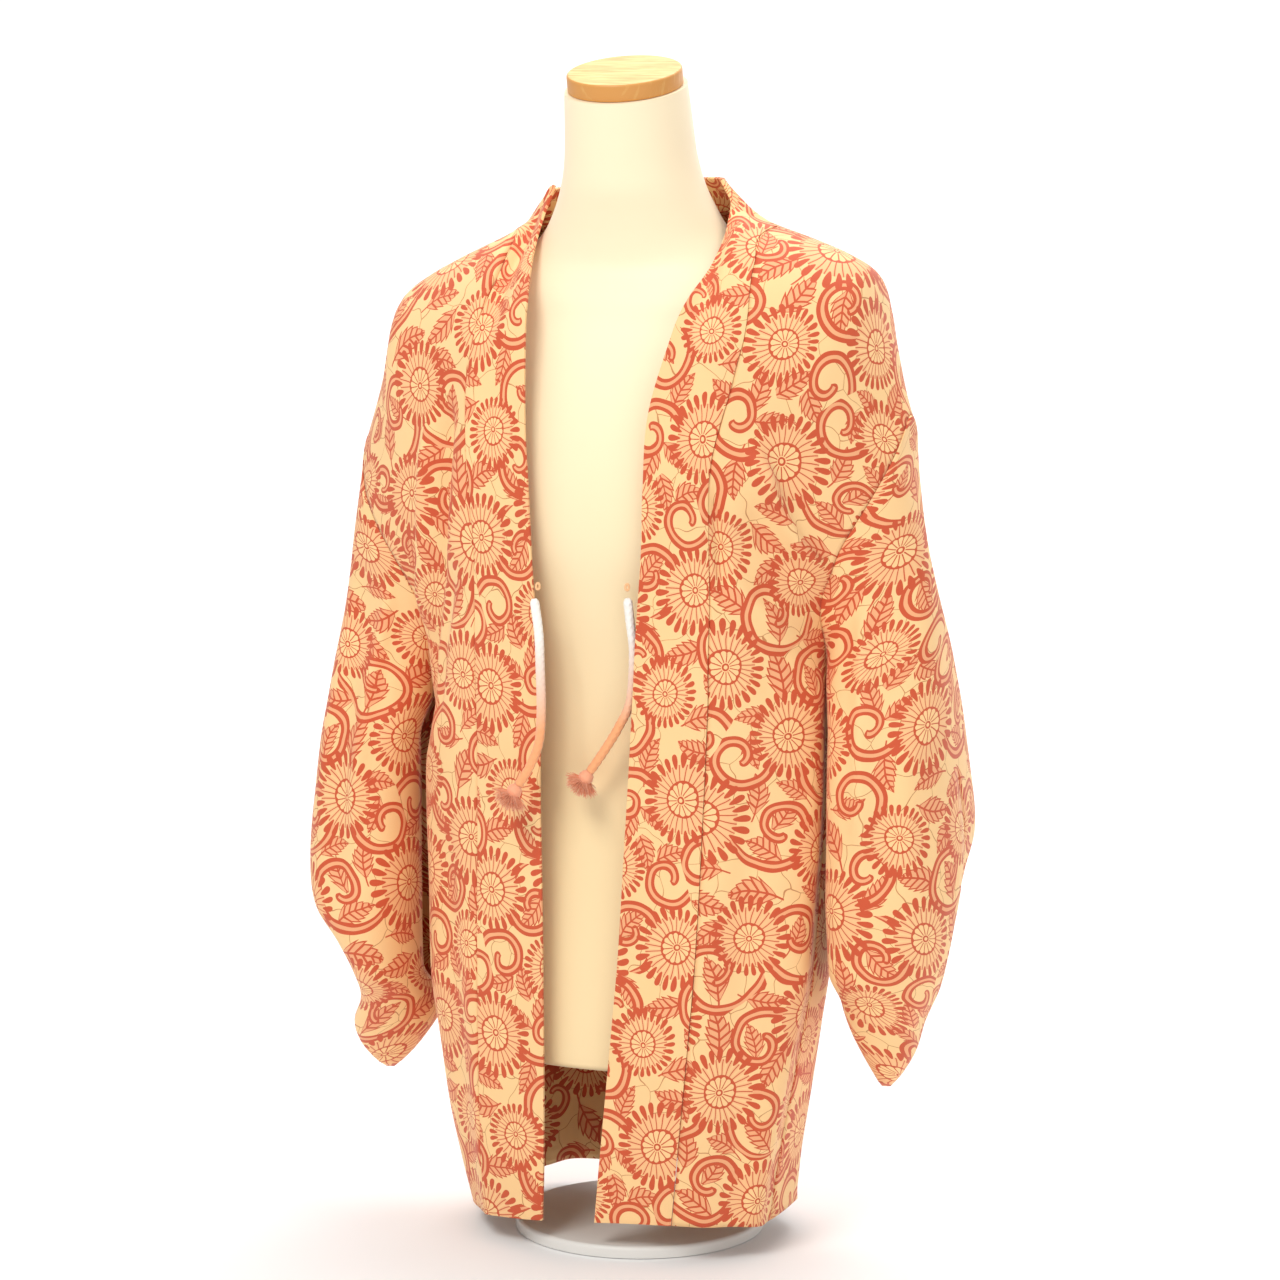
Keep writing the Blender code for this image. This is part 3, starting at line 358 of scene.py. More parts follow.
# How finely the cloths are divided.
LEVEL_COLUMNS = 40
ROLL_ROWS = 40  # rows over the shoulder's roll
ROLL_LENGTH = 0.11
DOWN_ROWS = 152  # rows below it, to the hem
CLOTH_LENGTH = 0.80
NECK_COLUMNS = 26  # columns of the back half inside the neckline's end
SLEEVE_ROWS = 136
SLEEVE_BUNCH = 1.25  # above 1 the sleeve's rows lie closer at the shoulder
GUSSET_ROWS = 118
GUSSET_COLUMNS = 8
COLLAR_COLUMNS = 14
NECK_STATIONS = 64  # stations of the collar behind the neck
COLUMN_STEP = 0.004  # step, in columns, of the walk across the collar
WIDEST = 0.9  # column that the collar never reaches
LEAST_WIDTH = 0.01  # width for which the seam's gap is worked out at the least
SPREAD_STEPS = 4  # rounds that even out the cut
WELD = 0.00002  # distance within which the points of a fold are one
TINY = 1e-6
NECK_GAP = 0.0010  # between the collar and the back's neckline
COLLAR_SOFT = 0.3  # width of the collar's rounded edge, as a share of its wall
COLLAR_EDGE_STEPS = 2
SHARP_EDGE = math.radians(50)

# Where each piece starts on the printed cloth.
CUT_SHIFT = {
    "panel_right": (0.013, 0.071),
    "panel_left": (0.118, 0.213),
    "sleeve_right": (0.064, 0.158),
    "sleeve_left": (0.171, 0.029),
    "gusset_right": (0.095, 0.110),
    "gusset_left": (0.020, 0.250),
    "collar": (0.031, 0.187),
}

# Cords, tassels and loops.
CURVE_STEPS = 24  # points between two of a cord route's own
CORD_RINGS = 170
CORD_SIDES = 40
PATH_POINTS = 60
CORD_END = 0.55  # width of the cord's closed end, as a share of its own
CORD_END_RUN = 0.006  # for how long it widens, from none to full
BRAID_PITCH = 0.0060
BRAID_STRANDS = 4
BRAID_PROUD = 0.12  # how far the strands stand out, as a share of the radius
BRAID_FLAT = 0.86  # the cord's depth for its width
KNOT_GRID = (32, 20)
KNOT_GROWTH = 1.05  # the wound knot's radius for the solid head's
KNOT_RIDGE = 0.035
KNOT_WINDING = 5200.0  # radians of winding for each metre
STRAND_BENDS = 5
STRAND_SIDES = 3
STRAND_FAN = 1.06  # the outermost threads' angle for the cone's
STRAND_EVEN = 0.80  # mean length of the threads for the longest
STRAND_TAPER = 0.35
STRAND_THICK = 0.00034
STRAND_CURL = 0.0024
# Turns from thread to thread for length, curl and tone, so that no two are alike.
LENGTH_BEATS = (12.9, 4.1)
CURL_BEAT = 5.3
TONE_BEAT = 7.7
STRAND_UNIT = 0.02  # length of thread for one step of its map
TONE_TOP = 0.98
LOOP_POINTS = 48
LOOP_OVAL = (0.55, 0.2)  # half width and half depth of a loop for its half height
LOOP_THICK = 0.0010
LOOP_PULLED = 0.50  # a loop drawn tight against the collar, for its full round

# Form and stand.
FORM_SIDES = 120
FORM_ROWS = 104
FORM_ROUND = 6  # steps round the lower edge, and up to the cap
FORM_EDGE = 0.006
COVER_SEAM = 0.404  # height of the cover's level seam
COVER_SEAM_DEPTH = 0.0007
COVER_SEAM_WIDTH = 0.0022
CAP_GAP = 1.2  # seams between the form and its cap
TURNED_SIDES = 96
TURNED_SHARP = math.radians(35)
HUB = 0.02  # radius of a disc's middle, as a share of its own
TOP_STEPS = 8
FOOT_STEPS = 4
CAP_ROUNDS = (0.0022, 0.0008)  # rounding of the cap's upper and lower rim
BASE_ROUNDS = (0.0035, 0.0008)
POLE_HUB = 0.0004


# ------------------------------------------------------------------- the print's chart
TILE = (0.210, 0.300)  # the print's repeat
TURN = 2.0 * math.pi
CODE = 0.0001  # a motif's code rides in the third coordinate, too small to be a length

# Motifs of the repeat. Sizes are steps of the motif's own size range.
FLOWERS = (
    # x, y, turn in degrees, size step
    (0.040, 0.045, 200, 3),
    (0.138, 0.032, 80, 1),
    (0.098, 0.108, 330, 0),
    (0.188, 0.122, 150, 2),
    (0.036, 0.170, 20, 2),
    (0.120, 0.198, 250, 3),
    (0.190, 0.252, 110, 1),
    (0.060, 0.258, 300, 0),
)
FLOWER_SIZE = (0.031, 0.0030)  # radius of the smallest, and each step
LEAVES = (
    (0.090, 0.071, 70, 1),
    (0.072, 0.010, 250, 1),
    (0.180, 0.060, 110, 1),
    (0.192, 0.028, 20, 1),
    (0.206, 0.072, 80, 1),
    (0.048, 0.092, 200, 1),
    (0.072, 0.092, 110, 1),
    (0.146, 0.090, 40, 1),
    (0.146, 0.150, 290, 2),
    (0.116, 0.142, 95, 2),
    (0.080, 0.153, 230, 1),
    (0.006, 0.106, 250, 0),
    (0.200, 0.172, 70, 3),
    (0.002, 0.216, 60, 2),
    (0.078, 0.214, 120, 1),
    (0.164, 0.205, 170, 1),
    (0.044, 0.222, 15, 2),
    (0.012, 0.252, 320, 1),
    (0.022, 0.276, 190, 2),
    (0.104, 0.284, 160, 1),
    (0.124, 0.258, 50, 3),
    (0.196, 0.290, 350, 3),
    (0.140, 0.297, 25, 0),
    (0.030, 0.002, 345, 1),
    (0.168, 0.170, 65, 0),
    (0.150, 0.264, 100, 0),
    (0.177, 0.080, 20, 0),
    (0.010, 0.134, 350, 0),
    (0.066, 0.062, 140, 0),
)
LEAF_SIZE = (0.031, 0.0046)
SCROLLS = (
    # x, y, turn in degrees, mirrored, size step
    (0.092, 0.050, 140, 0, 0),
    (0.182, 0.048, 20, 1, 2),
    (0.050, 0.112, 300, 1, 1),
    (0.148, 0.108, 210, 0, 1),
    (0.084, 0.160, 60, 0, 1),
    (0.162, 0.168, 250, 1, 2),
    (0.004, 0.222, 110, 0, 3),
    (0.088, 0.232, 10, 1, 0),
    (0.148, 0.262, 190, 0, 2),
    (0.018, 0.100, 80, 0, 1),
    (0.100, 0.290, 330, 1, 1),
)
SCROLL_SIZE = (0.021, 0.003)


# Shapes of the flowers, in shares of a flower's radius.
PETALS = 26
SEEDS = 14
LOPSIDED = 0.11  # how much longer the petals of one side are
TIP_MIDDLE = 0.81
TIP_HALF = 0.170
TIP_SLIM = (-0.35, 1.60)  # change and middle of the tips' slenderness
BODY_END = 0.73
RAY_GAP = 0.085
RAY_PAST = 0.02  # how far the rays run into the tips
RING = 0.36
RING_WIDTH = 0.030
SCALLOP = 0.050
SCALLOP_START = 0.012
SEED_GAP = 0.050
SEED_START = 0.10
HEART = (0.062, 0.020)  # radius and half width of the ring in the middle
FILL = 0.9  # tone of the filled flowers
TINT = (0.75, 0.10)  # rise and least tone between the rays

# Shapes of the leaves, in shares of a leaf's length.
RIB_BEND = 0.35
RIB_DROP = 0.03
TEETH = 6.0
TOOTH_SLANT = 0.75
TOOTH_DEPTH = (0.30, 0.78)
LEAF_BLUNT = 0.85
LEAF_WIDE = 0.27
EDGE_INSET = (0.88, 0.010)
CORE = (0.03, 0.96)  # where the light fill starts and ends
HATCH = 0.34
RIB_WIDTH = 0.020
STEM = (-0.25, 0.5)

# Shapes of the scrolls.
WIND = 0.19
BAND = 0.0046
BAND_THIN = 0.25
SCROLL_START = -0.43
SCROLL_END = 0.94
SCROLL_ROUND = 0.09  # turn over which a scroll's end rounds off
SCROLL_LEAD = 6.0  # how soon a scroll's start reaches its full width
SCROLL_LEAD_BLUNT = 0.6
SCROLL_LIGHT = (-0.16, 0.46)  # the light line inside the band
SCROLL_LIGHT_STOP = 0.05

# The hand's unevenness, and the ground's hairlines.
WOBBLE_SCALE = 60.0
WOBBLE = 0.0030
WEB_SCALE = 32.0
WEB_BEND = 3.5
HAIRLINE = 0.011

# Grain of each finish: scale, strength and depth of its bump.
GRAINS = {
    "silk": (1500.0, 0.35, 0.0003),
    "satin": (900.0, 0.25, 0.0002),
    "coat": (650.0, 0.3, 0.0002),
    "braid": (2200.0, 0.5, 0.0002),
    "loops": (2400.0, 0.5, 0.0002),
}
# Change and middle of a finish's roughness over its grain.
ROUGHNESS = {
    "silk": (-0.06, 0.70),
    "satin": (0.10, 0.44),
    "coat": (0.18, 0.34),
    "braid": (0.2, 0.52),
    "thread": (0.1, 0.6),
    "wood": (0.2, 0.30),
}
FINE_DETAIL = 2.0
SHADE_SCALE = 9.0
SHADE_DETAIL = 3.0
SILK_SHADE = (0.16, 0.92)
SILK_SHEEN = (1.0, 0.85, 0.72, 1.0)
HAIRLINE_TONE = 0.9
PAINTED_SHADE_FADE = (-2.2, 1.72)  # how the satin's painted shade grows towards its lower edge, darker and more orange, standing in for shade and the jacket's orange bounce light
# How unevenly that painted shade ends.
PAINTED_SHADE_CLOUD = 0.15
DYE_RAMP = (2.0, 0.38)
WOOD_STRETCH = (18.0, 130.0, 18.0)
WOOD_RINGS = 2.2
WOOD_DETAIL = 5.0
WOOD_CONTRAST = (2.2, -0.7)
STEEP_FACE_DARKENING = (0.8, 0.75)  # level of the normal below which the wood is darker, and how much darker
WOOD_BUMP = (0.2, 0.0004)

# Camera, floor and lights.
CAMERA_AZIMUTH = 20.0
CAMERA_ELEVATION = 9.0
CAMERA_DISTANCE = 3.7
CAMERA_LENS = 125.4
CAMERA_SENSOR = 36.0
CAMERA_TARGET = (0.0, 0.0, 0.500)
WORLD_COLOUR = (1.0, 1.0, 1.0, 1.0)
WORLD_STRENGTH = 0.57
FLOOR_COLOUR = (0.90, 0.90, 0.90, 1.0)
FLOOR_HALF = 7.0
FLOOR_FRONT = -6.0
FLOOR_BEND = 1.4  # where the floor starts to curve up
BEND_RADIUS = 1.2
BEND_STEPS = 16
BACKDROP_TOP = 6.0
FLOOR_DROP = 0.0005
LIGHTS = (
    # name, place, aim, size, watts, colour
    ("key", (-0.5, -2.6, 3.2), (0, 0, 0.5), 1.4, 68.0, (1.0, 0.98, 0.95)),
    ("fill", (2.6, -2.2, 1.4), (0, 0, 0.5), 2.4, 13.0, (1.0, 0.97, 0.94)),
    ("top", (0.2, 0.6, 3.0), (0, 0, 0.4), 2.0, 24.0, (1.0, 0.99, 0.98)),
    ("backdrop", (0.0, 1.2, 2.6), (0, 2.6, 0.6), 2.0, 40.0, (1.0, 1.0, 1.0)),
)


# ------------------------------------------------------------------- small functions
def clamp(value, low=0.0, high=1.0):
    return max(low, min(high, value))


def ease(value):
    """0 to 1 with level ends."""
    value = clamp(value)
    return value * value * (3.0 - 2.0 * value)


def mix(first, second, share):
    return first + (second - first) * share


def read_table(rows, key, column):
    """The table's column at key, on a smooth curve through its rows."""
    if key <= rows[0][0]:
        return rows[0][column]
    if key >= rows[-1][0]:
        return rows[-1][column]
    last = len(rows) - 1
    low = max(i for i in range(last) if rows[i][0] <= key)
    before = rows[max(low - 1, 0)]
    start = rows[low]
    end = rows[low + 1]
    after = rows[min(low + 2, last)]
    width = end[0] - start[0]
    share = (key - start[0]) / width
    slope_in = (end[column] - before[column]) / (end[0] - before[0])
    slope_out = (after[column] - start[column]) / (after[0] - start[0])
    square = share * share
    cube = square * share
    return (
        (2 * cube - 3 * square + 1) * start[column]
        + (cube - 2 * square + share) * width * slope_in
        + (3 * square - 2 * cube) * end[column]
        + (cube - square) * width * slope_out
    )


def power(value, exponent):
    return math.copysign(abs(value) ** exponent, value)


def solve(function, low, high, steps=36):
    """Where a rising function crosses zero between low and high."""
    for _ in range(steps):
        middle = (low + high) / 2
        if function(middle) > 0:
            high = middle
        else:
            low = middle
    return (low + high) / 2


def shoulder_rows():
    """The shoulder fold as rows of distance along it, x and z."""
    rows = [(0.0, *SHOULDER[0])]
    for x, z in SHOULDER[1:]:
        along = math.hypot(x - rows[-1][1], z - rows[-1][2])
        rows.append((rows[-1][0] + along, x, z))
    return tuple(rows)


SHOULDER_ROWS = shoulder_rows()
SHOULDER_LENGTH = SHOULDER_ROWS[-1][0]
SHOULDER_END = SHOULDER[-1][1]
SIGN = {"right": -1.0, "left": 1.0}


# ----------------------------------------------------------------- the body's surface
def stretches(rows):
    """Each piece's folds as straight stretches with what came before them."""
    found = {}
    for piece, path, width, height in rows:
        total = sum(math.dist(a, b) for a, b in zip(path, path[1:]))
        before = 0.0
        fold = []
        for start, end in zip(path, path[1:]):
            run = math.dist(start, end)
            fold.append((*start, *end, run, before))
            before += run
        found.setdefault(piece, []).append((fold, total, width, height, path[-1][1] > HEM))
    return found


STRETCHES = stretches(FOLDS + CREASES)


def fold_push(piece, x, z):
    """How far the folds push a point of the piece outwards."""
    push = 0.0
    for fold, total, width, height, ends_inside in STRETCHES.get(piece, ()):
        nearest = None
        for x0, z0, x1, z1, run, before in fold:
            along = clamp(((x - x0) * (x1 - x0) + (z - z0) * (z1 - z0)) / run, 0.0, run)
            off = math.hypot(x - mix(x0, x1, along / run), z - mix(z0, z1, along / run))
            if nearest is None or off < nearest[0]:
                nearest = (off, before + along)
        if nearest[0] > FOLD_REACH * width:
            continue
        fade = ease((nearest[1] + FOLD_LEAD) / FOLD_END)
        if ends_inside:
            fade *= ease((total - nearest[1] + FOLD_LEAD) / FOLD_END)
        push += height * fade * math.exp(-((nearest[0] / width) ** 2))
    # Each piece takes its ripples from a level of the noise that goes with its name.
    step, levels = RIPPLE_LEVELS
    level = step * (sum(map(ord, piece)) % levels)
    where = Vector((x * RIPPLE_FIT[0], z * RIPPLE_FIT[1], level))
    return push + RIPPLE * noise.noise(where)


def hem_height(side, c):
    """The hem dips towards the sides."""
    return HEM - HEM_DIP[side] * ease(c)


def shoulder_at(c):
    """x and z of the shoulder fold at column c."""
    return [read_table(SHOULDER_ROWS, c * SHOULDER_LENGTH, k) for k in (1, 2)]


def body_point(side, face, c, t):
    """A point of the body's cloth: side right or left, face front or back."""
    shoulder_x, shoulder_z = shoulder_at(c)
    drop = (shoulder_z - hem_height(side, c)) * t
    z = shoulder_z - drop
    half = read_table(BODY, z, OWN[side])
    depth = read_table(BODY, z, DEPTH[face])
    edge = read_table(BODY, z, EDGE[face])
    angle = math.acos(clamp(edge / depth) ** (ROUND / 2)) * c
    eased = ease(drop / SHOULDER_EASE)
    x = mix(shoulder_x, half * power(math.sin(angle), 2 / ROUND), eased)
    out = clamp(1.0 - drop / (FRONT_ROLL if face == "front" else BACK_ROLL))
    rolled = math.sqrt(1.0 - out * out)
    stands = 1.0 - ease((shoulder_x - STAND_X[0]) / (STAND_X[1] - STAND_X[0]))
    rolled = mix(rolled, math.cos(math.pi / 2 * out) ** STAND_STEEP[face], stands)
    y = depth * power(math.cos(angle), 2 / ROUND) * rolled
    if face == "front":
        flare = read_table(FLARE, z, OWN[side])
        x += flare * math.sin(angle) * ease((y - edge) / FLARE_DEPTH)
    push = fold_push(face + "_" + side, x, z) * ease(drop / FOLD_GROWS)
    x += push * math.sin(angle)
    y += push * math.cos(angle)
    held = (1.0 - eased) * (1.0 - ease((SLIP_BELOW - z) / SLIP_BLEND))
    slip = SLIP * (1.0 - c * c * held)
    return Vector((SIGN[side] * x + slip, y if face == "back" else -y, z))


def leant(point):
    """A cloth point after the jacket's sideways tilt."""
    return Vector((point.x, point.y, point.z + LEAN * point.x))


def row_at(side, z):
    """The row of the panels' side edge at height z."""
    return clamp((SHOULDER_END - z) / (SHOULDER_END - hem_height(side, 1.0)))


def collar_inner(side, t):
    """The column of the collar's inner edge in row t of the front."""

    def beyond(c):
        point = body_point(side, "front", c, t)
        return SIGN[side] * (point.x - read_table(OPENING, point.z, OWN[side]))

    return solve(beyond, 0.0, WIDEST)


def collar_outer(side, t, inner):
    """The column of the collar's seam in row t, its width further out."""
    start = body_point(side, "front", inner, t)
    width = mix(COLLAR_NECK, COLLAR_WIDTH, ease((COLLAR_TOP_Z - start.z) / COLLAR_OPENS))
    along = 0.0
    c = inner
    while along < width and c < WIDEST:
        following = body_point(side, "front", c + COLUMN_STEP, t)
        length = (following - start).length
        if along + length > width:
            return c + COLUMN_STEP * (width - along) / length
        along += length
        c += COLUMN_STEP
        start = following
    return c


NECK_COLUMN = solve(lambda c: shoulder_at(c)[0] - NECKLINE_X, 0.0, WIDEST)


def collar_edges(side, t):
    """Columns of the collar's inner edge and of its seam in row t of one front."""
    inner = collar_inner(side, t)
    return inner, max(collar_outer(side, t, inner), NECK_COLUMN if t == 0.0 else 0.0)


def neckline_row(c):
    """The row at which the back's neckline cuts column c."""
    shoulder_x, shoulder_z = shoulder_at(c)
    share = clamp(shoulder_x / NECKLINE_X)
    neckline = mix(NECKLINE_BACK, NECKLINE_SIDE, share * share)
    return clamp((shoulder_z - neckline) / (shoulder_z - hem_height("right", c)))


# ------------------------------------------------------------------------ the sleeves
def sleeve_point(side, face, across, z):
    """A point of a sleeve: across runs from the body (0) to the outer fold (1)."""
    table = SLEEVES[side]
    outer = read_table(table, z, 1)
    depth = read_table(table, z, 2 if face == "front" else 3)
    cuff = max(0.0, read_table(table, z, 4))
    if face == "back":
        outer -= CUFF_TUCK[side] * cuff
    shift = read_table(table, z, 6)
    cuff += shift if face == "back" else -shift
    joint = body_point(side, face, 1.0, row_at(side, z))
    sewn = ease((z - FURI_TOP) / FURI_BLEND)
    inner = mix(read_table(table, z, 5), abs(joint.x) + SLEEVE_CLEAR, sewn)
    top = ease((z - SHOULDER_END) / SLEEVE_TOP + 1.0)
    outer = mix(outer, abs(joint.x) + SLEEVE_CLEAR + SLEEVE_TOP_REACH, top)
    furi = ease((z - FURI_CLOSED) / FURI_OPENS) * FURI_HALF
    inner_y = mix(furi, abs(joint.y), sewn)
    # Beside the armhole the cloth runs straight on from the body, below it turns out.
    smooth = ease((z - SHOULDER_END + ARMHOLE) / ARMHOLE_BLEND)
    start = mix(0.0, math.pi / 2, smooth)
    depth = mix(depth, max(depth, inner_y), smooth)
    half = (outer - inner) / (1.0 + math.cos(start))
    angle = mix(start, math.pi, across)
    turned_out = outer - half * (1.0 + power(math.cos(angle), 2 / ROUND))
    straight_on = mix(inner, outer, math.sin(math.pi / 2 * across) ** SLEEVE_SWELL)
    x = mix(turned_out, straight_on, smooth)
    lift = power(math.sin(start), 2 / ROUND)
    bulge = depth * power(math.sin(angle), 2 / ROUND)
    push = fold_push("sleeve_" + face + "_" + side, x, z)
    bulge += push * ease(math.sin(angle) * SLEEVE_FOLDS_RISE)
    y = mix(inner_y - depth * lift, cuff, across) + bulge
    return Vector((SIGN[side] * x, y if face == "back" else -y, z))


# ----------------------------------------------------------------- making the objects
def add_piece(name, data, material):
    obj = bpy.data.objects.new(name, data)
    bpy.context.scene.collection.objects.link(obj)
    obj.data.materials.append(material)
    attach(obj, "root")
    return obj


def meshed(name, bm, outward=True):
    """The finished mesh, smooth-shaded, with its faces turned outward."""
    if outward:
        bmesh.ops.recalc_face_normals(bm, faces=bm.faces)
    mesh = bpy.data.meshes.new(name)
    bm.to_mesh(mesh)
    bm.free()
    mesh.shade_smooth()
    return mesh


def bridged(bm, rings):
    """Faces between each ring of points and the next."""
    made = []
    for lower, upper in zip(rings, rings[1:]):
        for k in range(len(lower)):
            n = (k + 1) % len(lower)
            made.append(bm.faces.new((lower[k], lower[n], upper[n], upper[k])))
    return made


def closed_rings(bm, rings):
    """A closed body from rings of places. Returns the faces round its side."""
    rings = [[bm.verts.new(place) for place in ring] for ring in rings]
    bm.faces.new(list(reversed(rings[0])))
    bm.faces.new(rings[-1])
    return bridged(bm, rings)


def oval(steps):
    """Cosine and sine of each step round a ring."""
    angles = [TURN * k / steps for k in range(steps)]
    return [(math.cos(angle), math.sin(angle)) for angle in angles]


# ------------------------------------------------------------------ the cloth's meshes
def fine_rows():
    """Rows from the shoulder fold to the hem, even along the cloth's roll."""
    quarter = [math.radians(90.0 * k / ROLL_ROWS) for k in range(ROLL_ROWS)]
    rows = [ROLL_LENGTH * (1.0 - math.cos(angle)) / CLOTH_LENGTH for angle in quarter]
    for k in range(DOWN_ROWS + 1):
        rows.append(mix(ROLL_LENGTH, CLOTH_LENGTH, k / DOWN_ROWS) / CLOTH_LENGTH)
    return rows


def travelled(points):
    """Distances along a line of points from its first one."""
    found = [0.0]
    for start, end in zip(points, points[1:]):
        found.append(found[-1] + (end - start).length)
    return found


def travelled_back(points):
    """Distances along a line of points to its last one."""
    return list(reversed(travelled(list(reversed(points)))))


def cut_map(grid, turn, shift):
    """Where each point lies on the flat cut: across to its last edge, along from the top.

    turn is 1 where the cut runs up the cloth and -1 where it runs down.
    """
    down = [travelled(column) for column in zip(*grid)]
    found = []
    for i, line in enumerate(grid):
        row = []
        for j, across in enumerate(travelled_back(line)):
            row.append((across + shift[0], turn * down[j][i] + shift[1]))
        found.append(row)
    return found


def level_maps(front, back, shift):
    """Places on the cut for a cloth folded at its outer edge, with its rows level."""
    drop = travelled([line[0] for line in front])
    front_places = []
    back_places = []
    for fallen, near, far in zip(drop, front, back):
        outward = travelled(near)
        along = shift[1] - fallen
        front_places.append([(shift[0] - run, along) for run in outward])
        fold = shift[0] - outward[-1]
        back_places.append([(fold - run, along) for run in travelled_back(far)])
    return front_places, back_places


def cut_places(obj):
    """The cut's layer, its numbers, and each corner's place as a complex number."""
    layer = obj.data.uv_layers["cut"].data
    numbers = np.empty(2 * len(layer))
    layer.foreach_get("uv", numbers)
    return layer, numbers, numbers[0::2] + 1j * numbers[1::2]


def evened_cut(obj):
    """Spreads the cut's stretch evenly over the sheet, kept where the first cut lies."""
    _, _, first = cut_places(obj)
    bpy.context.view_layer.objects.active = obj
    obj.select_set(True)
    bpy.ops.object.mode_set(mode="EDIT")
    bpy.ops.mesh.select_all(action="SELECT")
    bpy.ops.uv.unwrap(method="MINIMUM_STRETCH", iterations=SPREAD_STEPS, margin=0.0)
    bpy.ops.object.mode_set(mode="OBJECT")
    obj.select_set(False)
    layer, numbers, spread = cut_places(obj)
    middle = first.mean()
    target = first - middle
    spread = spread - spread.mean()
    best = None
    for option in (spread, spread.conj()):
        turn = (option.conj() * target).sum() / (abs(option) ** 2).sum()
        miss = (abs(option * turn - target) ** 2).sum()
        if best is None or miss < best[0]:
            best = (miss, option * turn + middle)
    numbers[0::2] = best[1].real
    numbers[1::2] = best[1].imag
    layer.foreach_set("uv", numbers)


def cloth(name, patches, wall, material, weld=0.0, evened=False):
    """One sheet from patches of points and their places on the cut."""
    bm = bmesh.new()
    layer = bm.loops.layers.uv.new("cut")
    for grid, places in patches:
        corners = [[bm.verts.new(leant(point)) for point in line] for line in grid]
        for i in range(len(grid) - 1):
            for j in range(len(grid[i]) - 1):
                upper = (grid[i][j] - grid[i][j + 1]).length
                lower = (grid[i + 1][j] - grid[i + 1][j + 1]).length
                if upper + lower < TINY:
                    continue
                at = ((i, j), (i + 1, j), (i + 1, j + 1), (i, j + 1))
                face = bm.faces.new([corners[a][b] for a, b in at])
                for loop, (a, b) in zip(face.loops, at):
                    loop[layer].uv = places[a][b]
    if weld:
        bmesh.ops.remove_doubles(bm, verts=bm.verts, dist=weld)
    obj = add_piece(name, meshed(name, bm), material)
    if evened:
        evened_cut(obj)
    solidify = obj.modifiers.new("wall", "SOLIDIFY")
    solidify.thickness = wall
    solidify.offset = 0.0
    solidify.use_even_offset = True
    return obj


def front_columns(side, t):
    """Columns of the front panel in row t, from the collar's seam to the side."""
    _, seam = collar_edges(side, t)
    start = body_point(side, "front", seam, t)
    end = body_point(side, "front", 1.0, t)
    gap = SEAM / max((end - start).length, LEAST_WIDTH)
    return [mix(seam + gap, 1.0, j / LEVEL_COLUMNS) for j in range(LEVEL_COLUMNS + 1)]


def sunk(grid):
    """The grid with its first and last column, which are sewn, drawn in a little."""
    found = []
    for line in grid:
        run = travelled(line)
        new = []
        for point, along in zip(line, run):
            near = math.exp(-((along / SEAM_WIDTH) ** 2))
            near += math.exp(-(((run[-1] - along) / SEAM_WIDTH) ** 2))
            inward = Vector((-point.x, -point.y, 0.0))
            if inward.length > TINY:
                point = point + inward.normalized() * SEAM_DEPTH * near
            new.append(point)
        found.append(new)
    return found


def front_patch(side):
    """The front panel's points."""
    grid = []
    for t in fine_rows():
        grid.append([body_point(side, "front", c, t) for c in front_columns(side, t)])
    return grid


def back_patch(side):
    """The back half from the centre seam to the side, sharing the front's top edge."""
    columns = [NECK_COLUMN * j / NECK_COLUMNS for j in range(NECK_COLUMNS)]
    columns += front_columns(side, 0.0)
    grid = []
    for t in fine_rows():
        line = []
        for c in columns:
            top = neckline_row(c) if c < NECK_COLUMN else 0.0
            line.append(body_point(side, "back", c, mix(top, 1.0, t)))
        line[0].x += SIGN[side] * SEAM
        grid.append(line)
    return grid


def make_panel(side, wall, material):
    """Front and back of one side: one length of cloth over the shoulder."""
    name = "panel_" + side
    front = sunk(front_patch(side))
    back = sunk(back_patch(side))
    back[0][NECK_COLUMNS:] = [point.copy() for point in front[0]]
    patches = (
        (front, cut_map(front, -1.0, CUT_SHIFT[name])),
        (back, cut_map(back, 1.0, CUT_SHIFT[name])),
    )
    panel = cloth(name, patches, wall, material, weld=WELD, evened=True)
    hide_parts("front_" + side, "back_" + side)
    return panel


def sleeve_patch(side, face):
    """One half of a sleeve, from the shoulder's end to its closed foot."""
    bottom = SLEEVES[side][0][0]
    across = [j / LEVEL_COLUMNS for j in range(LEVEL_COLUMNS + 1)]
    grid = []
    for i in range(SLEEVE_ROWS + 1):
        z = mix(SHOULDER_END, bottom, (i / SLEEVE_ROWS) ** SLEEVE_BUNCH)
        line = [sleeve_point(side, face, share, z) for share in across]
        if i in (0, SLEEVE_ROWS):
            line = [Vector((p.x, 0.0, p.z)) for p in line]
        grid.append(line)
    return grid


def make_sleeve(side, wall, material):
    name = "sleeve_" + side
    halves = [sleeve_patch(side, face) for face in ("front", "back")]
    patches = zip(halves, level_maps(*halves, CUT_SHIFT[name]))
    sleeve = cloth(name, patches, wall, material, weld=WELD)
    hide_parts("sleeve_front_" + side, "sleeve_back_" + side)
    return sleeve


def make_gusset(side, wall, material):
    top = SHOULDER_END - ARMHOLE - GUSSET_DROP
    grid = []
    for i in range(GUSSET_ROWS + 1):
        t = row_at(side, mix(top, hem_height(side, 1.0), i / GUSSET_ROWS))
        front = body_point(side, "front", 1.0, t)
        back = body_point(side, "back", 1.0, t)
        gap = SEAM / (back - front).length
        line = []
        for j in range(GUSSET_COLUMNS + 1):
            share = mix(gap, 1.0 - gap, j / GUSSET_COLUMNS)
            bow = GUSSET_BOW * math.sin(math.pi * share)
            line.append(front.lerp(back, share) + Vector((SIGN[side] * bow, 0, 0)))
        grid.append(line)
    places = cut_map(grid, -1.0, CUT_SHIFT["gusset_" + side])
    gusset = cloth("side_gusset_" + side, [(grid, places)], wall, material)
    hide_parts("gusset_" + side)
    return gusset


